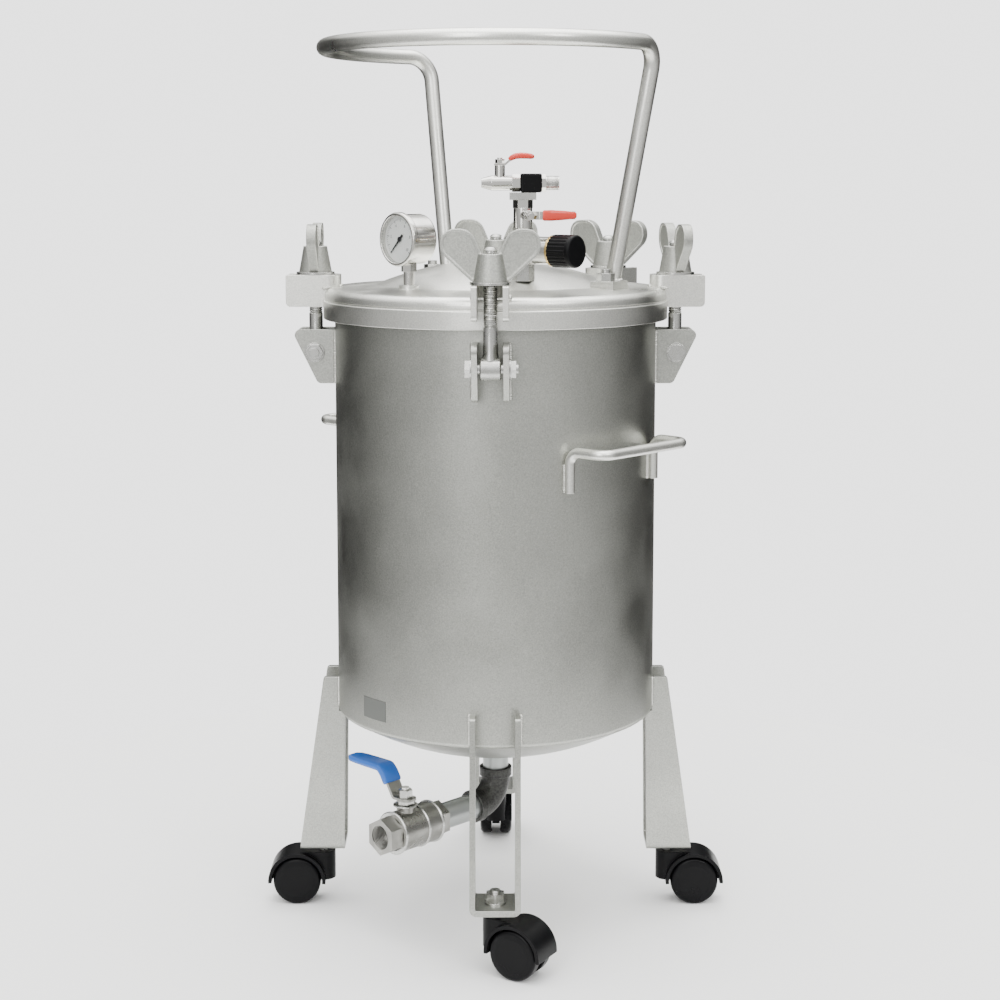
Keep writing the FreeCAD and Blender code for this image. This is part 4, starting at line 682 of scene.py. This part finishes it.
@dataclass
class TankAndLid:
    """The welded vessel: tank, lid, lugs, clevis plates, legs and handles, with their weld beads."""

    bead_radius: float = 2.0 * MM
    bead_spacing: float = 1.7 * MM
    plate_bead: float = 18.2 * MM
    plate_bead_inset: float = 2 * MM
    leg_bead: float = 25.1 * MM
    leg_bead_start: float = 6 * MM
    leg_bead_inset: float = 1 * MM
    handle_bead: float = 3.4 * MM
    handle_bead_start: float = 1 * MM
    sticker_width: float = 34 * MM
    sticker_height: float = 21 * MM
    sticker_lift: float = 0.25 * MM
    sticker_azimuth: float = math.radians(223)
    sticker_above_edge: float = 15.5 * MM
    leg_lap: float = 35 * MM
    rim_stays_above: float = 0.5
    lug_inner: float = 159 * MM
    lug_half: float = 17.9 * MM
    lug_weld_length: float = 10 * MM
    lug_weld_below_top: float = 12.4 * MM
    lug_weld_gap: float = 0.4 * MM
    lug_weld_drop: float = 1.2 * MM
    handle_spread: float = math.radians(22)
    handle_azimuths: tuple[float, ...] = (math.radians(317), math.radians(137))
    handle_weld_length: float = 26 * MM
    hoop_foot_radius: float = 131 * MM
    hoop_foot_azimuths: tuple[float, ...] = (math.radians(-26.5), math.radians(113.5))
    hoop_plate: float = 4 * MM
    hoop_weld_radius: float = 8.6 * MM
    tank_radius: float = field(init=False)
    tank_edge: float = field(init=False)

    def __post_init__(self) -> None:
        """Read the tank's size from the frame."""
        low_wall = [vertex.co for vertex in frame["nodes"]["tank_shell"].data.vertices
                    if vertex.co.z < self.rim_stays_above]
        self.tank_radius = max(math.hypot(place.x, place.y) for place in low_wall)
        self.tank_edge = extent("leg_right", UP)[1] - self.leg_lap

    def build(self) -> None:
        """Dress the vessel and add its welds and its sticker."""
        dress(BLASTED, "tank_shell", "clevis_plates", *(f"leg_{corner.value}" for corner in Corner))
        # The lid and its parts get the lighter copy of the blasted steel, which paints in light from above.
        dress(BLASTED_PAINTED_LIGHTER, "lid_shell", "lid_lugs", "lid_hoop", "side_handles")
        dress(RUBBER, "lid_gasket")
        self.add_welds()
        self.add_sticker()

    def wall_point(self, azimuth: float, offset: float, height: float) -> Vector:
        """Point on the tank's wall, a distance sideways from an azimuth."""
        out = math.sqrt(self.tank_radius ** 2 - offset ** 2)
        side = heading(azimuth + math.pi / 2)
        return heading(azimuth) * out + side * offset + UP * height

    def wall_paths(self, azimuth: float, offset: float, heights: Sequence[float]) -> list[list[Vector]]:
        """Two upright bead paths on the tank's wall, one on each side of an azimuth."""
        return [[self.wall_point(azimuth, side, height) for height in heights]
                for side in (-offset, offset)]

    def add_welds(self) -> None:
        """Lay every bead, starting with those of the clevis plates and the legs."""
        paths = []
        low, high = extent("clevis_plates", UP)
        heights = (low + self.plate_bead_inset, (low + high) / 2, high - self.plate_bead_inset)
        for clamp in Clamp:
            azimuth = azimuth_of(joint_place(f"bolt_swing_{clamp.value}"))
            paths += self.wall_paths(azimuth, self.plate_bead, heights)
        for corner in Corner:
            azimuth = azimuth_of(joint_place(f"caster_swivel_{corner.value}"))
            top = extent(f"leg_{corner.value}", UP)[1]
            heights = (self.tank_edge + self.leg_bead_start, top - self.leg_bead_inset)
            paths += self.wall_paths(azimuth, self.leg_bead, heights)
        paths += self.lug_paths() + self.handle_paths() + self.hoop_paths()
        beads = grow(path_mesh(paths), weld_bead_tree(), {
            "Drop Radius": self.bead_radius, "Drop Spacing": self.bead_spacing, "Seed": 5}, WELD)
        add_piece("weld_beads", beads, "root", WELD)

    def lug_paths(self) -> list[list[Vector]]:
        """Bead paths round the foot of each lug, on the lid's shoulder."""
        paths = []
        height = extent("lid_lugs", UP)[1] - self.lug_weld_below_top
        for clamp in Clamp:
            azimuth = azimuth_of(joint_place(f"bolt_swing_{clamp.value}"))
            out, side = heading(azimuth), heading(azimuth + math.pi / 2)
            for offset in (-self.lug_half, self.lug_half):
                start = out * (self.lug_inner + self.lug_weld_length) + side * offset + UP * height
                paths.append([start, start + out * self.lug_weld_length * 0.6 - UP * self.lug_weld_drop])
            inner = out * (self.lug_inner - self.lug_weld_gap) + UP * (height + self.lug_weld_gap)
            paths.append([inner - side * self.lug_half * 0.45, inner + side * self.lug_half * 0.45])
        return paths

    def handle_paths(self) -> list[list[Vector]]:
        """Bead paths down both sides of each side handle's ends."""
        low = extent("side_handles", UP)[0]
        heights = (low + self.handle_bead_start, low + self.handle_weld_length)
        paths = []
        for azimuth in self.handle_azimuths:
            for end in (-self.handle_spread, self.handle_spread):
                paths += self.wall_paths(azimuth + end, self.handle_bead, heights)
        return paths

    def hoop_paths(self) -> list[list[Vector]]:
        """Bead paths round the hoop's legs, on their foot plates."""
        height = extent("lid_hoop", UP)[0] + self.hoop_plate
        steps = 24
        paths = []
        for azimuth in self.hoop_foot_azimuths:
            centre = heading(azimuth) * self.hoop_foot_radius + UP * height
            paths.append([centre + heading(2 * math.pi * step / steps) * self.hoop_weld_radius
                          for step in range(steps + 1)])
        return paths

    def add_sticker(self) -> None:
        """Blank sticker on the tank's lower front, bent to the wall."""
        work = bmesh.new()
        columns = 12
        bottom = self.tank_edge + self.sticker_above_edge
        skins = []
        for lift in (0.02 * MM, self.sticker_lift):
            radius = self.tank_radius + lift
            rows = []
            for height in (bottom, bottom + self.sticker_height):
                row = []
                for column in range(columns + 1):
                    turn = (column / columns - 0.5) * self.sticker_width / self.tank_radius
                    place = heading(self.sticker_azimuth + turn) * radius + UP * height
                    row.append(work.verts.new(place))
                rows.append(row)
            skins.append(rows)
        (under_low, under_high), (over_low, over_high) = skins
        for column in range(columns):
            after = column + 1
            work.faces.new((over_low[column], over_low[after], over_high[after], over_high[column]))
            work.faces.new((under_low[column], under_high[column], under_high[after], under_low[after]))
            work.faces.new((under_low[column], under_low[after], over_low[after], over_low[column]))
            work.faces.new((under_high[column], over_high[column], over_high[after], under_high[after]))
        for side in (0, columns):
            work.faces.new((under_low[side], over_low[side], over_high[side], under_high[side]))
        add_piece("tank_sticker", mesh_from(work), "root", STICKER)


# ---------------------------------------------------------------- clamps

@dataclass
class LidClamp:
    """One lid clamp: the swing bolt with its cut thread, the washer and the wing nut."""

    clamp: Clamp
    eye_radius: float = 11 * MM
    eye_width: float = 20 * MM
    eye_chamfer: float = 1.2 * MM
    bolt_radius: float = 7 * MM
    thread_depth: float = 1.1 * MM
    thread_pitch: float = 2.0 * MM
    thread_start: float = 40 * MM
    thread_runout: float = 1 * MM
    neck_flare: float = 1.5 * MM
    neck_length: float = 7 * MM
    tip_steps: tuple[tuple[float, float], ...] = ((0.0, 2.4 * MM), (0.9 * MM, 1.1 * MM), (2.6 * MM, 0.3 * MM))
    pin_radius: float = 5.05 * MM

    def build(self) -> None:
        """Make the bolt and dress the rest."""
        name = self.clamp.value
        dress(ZINC, f"clamp_washer_{name}")
        # The wing nuts' finish paints highlights on their raised rims.
        dress(CAST, f"wing_nut_{name}")
        pin = joint_place(f"bolt_swing_{name}")
        across = joint_axis(f"bolt_swing_{name}")
        top = extent(f"swing_bolt_{name}", UP)[1]
        bolt = add_piece(f"threaded_bolt_{name}", self.bolt_mesh(pin, across, top), f"bolt_{name}", ZINC)
        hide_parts(f"swing_bolt_{name}")

    def bolt_mesh(self, pin: Vector, across: Vector, top: float) -> bpy.types.Mesh:
        """Eye, shank and thread of the bolt.

        Args:
            pin: The centre of the eye.
            across: The direction of the eye's bore.
            top: The height of the bolt's tip.

        Returns:
            The bolt's mesh, in place.
        """
        work = bmesh.new()
        half, chamfer = self.eye_width / 2, self.eye_chamfer
        lathe(work, [
            (self.pin_radius, -half), (self.eye_radius - chamfer, -half), (self.eye_radius, -half + chamfer),
            (self.eye_radius, half - chamfer), (self.eye_radius - chamfer, half), (self.pin_radius, half),
            (self.pin_radius, -half)], 40, frame_along(across, pin))
        root = self.bolt_radius - self.thread_depth
        length = top - pin.z
        base = self.eye_radius * 0.72
        lathe(work, [
            (0.0, base), (self.bolt_radius + self.neck_flare, base),
            (self.bolt_radius, base + self.neck_length),
            (self.bolt_radius, self.thread_start - self.thread_runout), (root, self.thread_start),
            *((root - inwards, length - below) for inwards, below in self.tip_steps),
            (0.0, length)], 40, Matrix.Translation(pin))
        core = mesh_from(work)
        span = length - self.thread_start - 2.5 * MM
        turns = span / self.thread_pitch
        ridge = grow(None, screw_thread_tree(), {
            "Root Radius": root, "Ridge": self.thread_depth * 0.92, "Turns": turns, "Length": span,
            "Resolution": 20}, ZINC, Matrix.Translation(pin + UP * (self.thread_start + 0.6 * MM)))
        return merged([core, ridge])


def merged(meshes: Sequence[bpy.types.Mesh]) -> bpy.types.Mesh:
    """One mesh made of several."""
    work = bmesh.new()
    for mesh in meshes:
        work.from_mesh(mesh)
    result = bpy.data.meshes.new("merged")
    work.to_mesh(result)
    work.free()
    return result


# ---------------------------------------------------------------- castors

@dataclass
class Castor:
    """One swivel castor."""

    corner: Corner

    def build(self) -> None:
        """Dress the hood and the wheels."""
        dress(BLACK, f"caster_hood_{self.corner.value}", f"caster_wheels_{self.corner.value}")


# ---------------------------------------------------------------- outlet and air fittings

@dataclass
class Outlet:
    """The bottom outlet: pipes, elbow and ball valve with its dipped lever."""

    stem_to_mouth: float = 35 * MM
    neck_rise: float = 31 * MM
    bore_radius: float = 12.05 * MM
    thread_ridge: float = 0.8 * MM
    thread_pitch: float = 1.81 * MM
    thread_length: float = 17 * MM
    body_radius: float = 20.5 * MM
    seam_rise: float = 1.3 * MM
    seam_width: float = 3.0 * MM
    seam_reaches: tuple[float, ...] = (-18 * MM, -50 * MM, -69 * MM)
    plate_radius: float = 12.5 * MM
    plate_thickness: float = 1.4 * MM
    lever_rise: float = 27 * MM
    lever_flat: float = 11 * MM
    lever_run: float = 17 * MM
    lever_end: float = 80.4 * MM
    strip_half: float = 1.25 * MM
    grip_half_width: float = 11 * MM
    grip_half_thickness: float = 3.8 * MM
    grip_bend: tuple[tuple[float, float, float], ...] = (
        (-0.5, -2.6, 1.0), (2.2, -0.5, 1.0), (5.0, 0.0, 1.0), (22.0, 0.0, 0.95))
    grip_tip: tuple[tuple[float, float, float], ...] = (
        (14.0, 0.98, 0.9), (6.0, 0.88, 0.85), (2.0, 0.66, 0.75), (0.0, 0.4, 0.5))

    def build(self) -> None:
        """Dress the outlet and add its seams, threads and sleeve."""
        dress(MALLEABLE, "outlet_elbow")
        dress(PIPE, "outlet_pipes")
        dress(STAINLESS_CAST, "drain_valve_body", "drain_lever")
        dress(CHROME, "drain_ball")
        dress(ZINC, "drain_stem_nuts")
        dress(BLUE, "drain_grip")
        self.add_seams()
        self.add_thread()
        self.add_grip()

    def run_frame(self, from_mouth: float) -> Matrix:
        """Frame on the run's axis, at a distance from the valve's mouth, with Z towards the mouth."""
        stem = joint_place("drain_lever_turn")
        out = heading(azimuth_of(stem))
        centre = stem - UP * self.neck_rise + out * (self.stem_to_mouth + from_mouth)
        return frame_along(out, centre)

    def add_seams(self) -> None:
        """Raised rings where the valve's halves screw together, and the stop plate under the lever."""
        work = bmesh.new()
        for reach in self.seam_reaches:
            band(work, self.body_radius - 3 * MM, self.body_radius + self.seam_rise,
                 (-self.seam_width / 2, self.seam_width / 2), self.run_frame(reach), 0.9 * MM)
        stem = joint_place("drain_lever_turn") - UP * 4.6 * MM
        band(work, 6 * MM, self.plate_radius, (-self.plate_thickness, 0.0), Matrix.Translation(stem))
        add_piece("drain_valve_seams", mesh_from(work), "root", ZINC)

    def add_thread(self) -> None:
        """Pipe thread inside the mouth."""
        ridge = grow(None, screw_thread_tree(), {
            "Root Radius": self.bore_radius, "Ridge": self.thread_ridge,
            "Turns": self.thread_length / self.thread_pitch, "Length": self.thread_length, "Resolution": 40},
            STAINLESS_CAST, self.run_frame(-self.thread_length - 0.8 * MM))
        add_piece("drain_mouth_thread", ridge, "root", STAINLESS_CAST)

    def add_grip(self) -> None:
        """Dipped blue sleeve that follows the lever's crank and narrows to its tip."""
        stem = joint_place("drain_lever_turn")
        along = heading(azimuth_of(stem) - math.pi / 2)
        level = self.lever_rise + self.strip_half
        slope = self.lever_rise / self.lever_run
        width, thick = self.grip_half_width, self.grip_half_thickness
        first = self.lever_flat + 0.47 * self.lever_run
        bend = self.lever_flat + self.lever_run
        stations = [(first, (first - self.lever_flat) * slope + self.strip_half, width * 0.94, thick * 0.8)]
        for part in (0.1, 0.35, 0.6):
            along_slope = first + (bend - first) * part
            rise = (along_slope - self.lever_flat) * slope + self.strip_half
            stations.append((along_slope, rise, width, thick))
        stations += [(bend + past * MM, level + drop * MM, width, thick * depth)
                     for past, drop, depth in self.grip_bend]
        stations += [(self.lever_end - back * MM, level, width * breadth, thick * depth)
                     for back, breadth, depth in self.grip_tip]
        mesh = sleeve_mesh(stations, lever_frame("drain_lever_turn", along, UP), squareness=4.2)
        piece = add_piece("drain_sleeve", mesh, "drain_handle", BLUE)
        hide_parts("drain_grip")


@dataclass
class AirFittings:
    """Regulator, tee and the two small ball valves."""

    ring_radius: float = 15.3 * MM
    ring_length: float = 3.1 * MM
    inlet_radius: float = 6.58 * MM
    inlet_length: float = 12 * MM
    inlet_pitch: float = 1.34 * MM
    inlet_ridge: float = 0.45 * MM
    inlet_relief: float = 0.6 * MM
    supply_stations: tuple[tuple[float, float, float, float], ...] = (
        (13.0, 4.6, 4.3, 2.0), (14.5, 5.0, 5.2, 2.6), (22.0, 5.0, 5.3, 2.6), (34.0, 5.0, 4.6, 2.5),
        (43.0, 5.0, 3.8, 2.3), (46.4, 5.0, 3.2, 1.9), (47.6, 5.0, 2.0, 1.2))
    air_stations: tuple[tuple[float, float, float, float], ...] = (
        (9.0, 5.4, 4.0, 1.9), (11.5, 7.4, 4.9, 2.6), (15.0, 8.9, 5.3, 2.9), (20.0, 9.5, 5.3, 3.0),
        (26.0, 9.3, 5.2, 2.9), (30.5, 8.8, 4.6, 2.6), (32.6, 8.5, 3.6, 2.0), (33.6, 8.4, 2.2, 1.2))

    def build(self) -> None:
        """Dress the air fittings and add the ring, the inlet's thread and the sleeves."""
        dress(ZINC, "air_nipple", "tee_base")
        dress(CHROME, "regulator_body", "supply_valve_body", "supply_lever", "air_inlet", "air_valve_body",
              "air_lever")
        dress(BLACK, "regulator_knob", "tee_block")
        dress(RED, "supply_grip", "air_grip")
        self.add_ring()
        self.add_inlet_thread()
        self.add_sleeves()

    def add_ring(self) -> None:
        """Brass locking ring behind the regulator's knob."""
        work = bmesh.new()
        place = frame_along(joint_axis("regulator_turn"), joint_place("regulator_turn"))
        band(work, self.ring_radius - 2.5 * MM, self.ring_radius, (-self.ring_length, 0.02 * MM), place)
        add_piece("regulator_brass_ring", mesh_from(work), "root", BRASS)

    def add_inlet_thread(self) -> None:
        """Pipe thread on the air inlet."""
        tip = extent("air_inlet", Vector((1.0, 0.0, 0.0)))[1]
        low, high = extent("air_inlet", UP)
        near, far = extent("air_inlet", Vector((0.0, 1.0, 0.0)))
        start = Vector((tip - self.inlet_length - 0.5 * MM, (near + far) / 2, (low + high) / 2))
        ridge = grow(None, screw_thread_tree(), {
            "Root Radius": self.inlet_radius, "Ridge": self.inlet_ridge,
            "Turns": self.inlet_length / self.inlet_pitch, "Length": self.inlet_length - self.inlet_relief,
            "Resolution": 36}, ZINC,
            frame_along(Vector((1.0, 0.0, 0.0)), start))
        add_piece("air_inlet_thread", ridge, "root", ZINC)

    def add_sleeves(self) -> None:
        """Dipped red sleeves on the two small levers."""
        side = joint_axis("supply_lever_turn")
        across = heading(azimuth_of(side) + math.pi / 2)
        frames = {
            "supply": (lever_frame("supply_lever_turn", across, side), self.supply_stations),
            "air": (lever_frame("air_lever_turn", Vector((1.0, 0.0, 0.0)), UP), self.air_stations),
        }
        for name, (place, stations) in frames.items():
            sizes = [tuple(part * MM for part in station) for station in stations]
            piece = add_piece(f"{name}_sleeve", sleeve_mesh(sizes, place), f"{name}_handle", RED)
            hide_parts(f"{name}_grip")


# ---------------------------------------------------------------- gauge

@dataclass
class Gauge:
    """The pressure gauge with its printed dial."""

    sweep: float = math.radians(270)
    major_count: int = 11
    minor_per_major: int = 5
    tick_outer: float = 20.5 * MM
    major_length: float = 3.4 * MM
    minor_length: float = 1.8 * MM
    major_width: float = 0.55 * MM
    minor_width: float = 0.28 * MM
    ink: float = 0.06 * MM
    numeral_radius: float = 14.3 * MM
    numeral_size: float = 4.0 * MM
    centre: Vector = field(init=False)
    facing: Vector = field(init=False)

    def __post_init__(self) -> None:
        """Read the gauge's place from the frame."""
        self.facing = -joint_axis("pointer_turn")
        self.centre = joint_place("pointer_turn")

    def dial_frame(self) -> Matrix:
        """Frame on the dial's face: X to twelve o'clock, Z towards the viewer."""
        face = extent("gauge_dial", self.facing)[1] - self.centre.dot(self.facing)
        return basis(UP, self.facing.cross(UP), self.facing, self.centre + self.facing * face)

    def build(self) -> None:
        """Dress the gauge and print its dial."""
        dress(CHROME, "gauge_case")
        dress(DIAL, "gauge_dial")
        dress(INK, "gauge_needle")
        dress(GLASS, "gauge_glass")
        first = self.sweep / 2
        step = -self.sweep / (self.major_count - 1)
        major = self.ticks(self.major_length, self.major_width, self.major_count, first, step)
        minor_count = (self.major_count - 1) * self.minor_per_major + 1
        minor = self.ticks(
            self.minor_length, self.minor_width, minor_count, first, step / self.minor_per_major)
        numerals = [self.numeral(str(mark), first + step * mark) for mark in range(0, self.major_count, 2)]
        add_piece("dial_marks", merged([major, minor, *numerals]), "root", INK, smooth=False)

    def ticks(self, length: float, width: float, count: int, first: float, step: float) -> bpy.types.Mesh:
        """Printed ticks round the dial."""
        work = bmesh.new()
        bmesh.ops.create_cube(work, size=1.0)
        work.transform(Matrix.Translation((self.tick_outer - length / 2, 0.0, self.ink / 2))
                       @ Matrix.Diagonal((length, width, self.ink, 1.0)))
        sizes = {"Count": count, "First Angle": first, "Step Angle": step}
        return grow(mesh_from(work), fan_tree(), sizes, INK, self.dial_frame())

    def numeral(self, text: str, angle: float) -> bpy.types.Mesh:
        """One upright number beside its tick."""
        curve = bpy.data.curves.new("numeral", "FONT")
        curve.body = text
        curve.size = self.numeral_size
        curve.align_x = "CENTER"
        curve.align_y = "CENTER"
        curve.extrude = self.ink / 2
        carrier = bpy.data.objects.new("numeral", curve)
        bpy.context.scene.collection.objects.link(carrier)
        mesh = baked(carrier)
        upright = Matrix.Rotation(math.pi / 2, 4, "Z").inverted()
        place = heading(angle) * self.numeral_radius
        mesh.transform(self.dial_frame() @ Matrix.Translation((place.x, place.y, self.ink / 2)) @ upright)
        return mesh


# ---------------------------------------------------------------- fasteners

def dress_fasteners() -> None:
    """Dress the bolts, studs, nuts and stems, which keep their CAD shape."""
    dress(ZINC, "clevis_pins", "hoop_fasteners", "caster_stems")


# ---------------------------------------------------------------- studio

@dataclass
class Studio:
    """Pale floor, soft lights and the camera."""

    distance: float = 1.956
    eye_height: float = 0.7706
    eye_shift: float = 0.0047
    pitch: float = math.radians(6.7)
    lens: float = 68.4
    shift: float = -0.104
    floor_radius: float = 0.8
    backdrop: float = 2.7
    dim: float = 0.03
    bright: float = 1.0
    overhead: float = 3.6

    def build(self) -> None:
        """Build the floor, the lights and the camera."""
        self.add_floor()
        self.add_world()
        self.add_light("key", (-0.75, -2.3, 1.5), (0.0, 0.0, 0.5), (0.7, 1.8), 22.0)
        self.add_light("fill_right", (1.7, -2.1, 1.9), (0.0, 0.0, 0.6), (0.5, 0.9), 14.0)
        self.add_light("top", (0.1, 0.5, 2.8), (0.0, 0.4, 0.0), (2.6, 2.6), 60.0)
        self.add_camera()

    def add_floor(self) -> None:
        """Pale round floor, wide enough for the shadows and no wider, so that the tank doesn't mirror it."""
        work = bmesh.new()
        bmesh.ops.create_circle(work, cap_ends=True, segments=128, radius=self.floor_radius)
        mesh = mesh_from(work)
        floor = bpy.data.objects.new("studio_floor", mesh)
        material = bpy.data.materials.new("studio_floor")
        material.use_nodes = True
        tree = material.node_tree
        feed(tree, tree.nodes["Principled BSDF"], {"Base Color": (0.93, 0.93, 0.93, 1.0), "Roughness": 0.8})
        mesh.materials.append(material)
        bpy.context.scene.collection.objects.link(floor)

    def add_world(self) -> None:
        """Pale backdrop for the camera; for the lighting, a dark room, bright in front and overhead."""
        world = bpy.data.worlds.new("studio")
        world.use_nodes = True
        tree = world.node_tree
        backdrop = tree.nodes["Background"]
        feed(tree, backdrop, {"Color": (1.0, 1.0, 1.0, 1.0), "Strength": self.backdrop})
        direction = tree.nodes.new("ShaderNodeTexCoord").outputs["Generated"]
        split = add_node(tree, "ShaderNodeSeparateXYZ", {"Vector": direction}).outputs
        ahead = map_range(tree, split["Y"], self.bright, self.dim, (-0.95, 0.5))
        above = map_range(tree, split["Z"], 0.0, self.overhead, (0.35, 0.95))
        room = add_node(tree, "ShaderNodeBackground", {
            "Color": (1.0, 1.0, 0.985, 1.0), "Strength": arithmetic(tree, "ADD", ahead, above)})
        mix = add_node(tree, "ShaderNodeMixShader", {
            "Fac": tree.nodes.new("ShaderNodeLightPath").outputs["Is Camera Ray"],
            1: room.outputs["Background"], 2: backdrop.outputs["Background"]})
        feed(tree, tree.nodes["World Output"], {"Surface": mix.outputs["Shader"]})
        bpy.context.scene.world = world

    def add_light(self, name: str, place: tuple[float, float, float], target: tuple[float, float, float],
                  size: tuple[float, float], power: float) -> None:
        """Rectangular soft light that looks at a target."""
        data = bpy.data.lights.new(name, "AREA")
        data.shape = "RECTANGLE"
        data.size, data.size_y = size
        data.energy = power
        light = bpy.data.objects.new(name, data)
        light.location = place
        light.rotation_euler = (Vector(target) - Vector(place)).to_track_quat("-Z", "Y").to_euler()
        bpy.context.scene.collection.objects.link(light)

    def add_camera(self) -> None:
        """Camera a little above the lid, looking slightly down."""
        data = bpy.data.cameras.new("camera")
        data.lens = self.lens
        data.sensor_width = 36.0
        data.shift_y = self.shift
        camera = bpy.data.objects.new("camera", data)
        camera.location = (self.eye_shift, -self.distance, self.eye_height)
        camera.rotation_euler = (math.pi / 2 - self.pitch, 0.0, 0.0)
        bpy.context.scene.collection.objects.link(camera)
        bpy.context.scene.camera = camera


def main() -> None:
    """Build every sub-assembly in order."""
    logging.basicConfig(level=logging.INFO, format="%(message)s")
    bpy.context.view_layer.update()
    builders: list[Callable[[], None]] = [TankAndLid().build]
    builders += [LidClamp(clamp).build for clamp in Clamp]
    builders += [Castor(corner).build for corner in Corner]
    builders += [Outlet().build, AirFittings().build, Gauge().build, dress_fasteners, Studio().build]
    for build in builders:
        build()


if __name__ == "__main__":
    main()
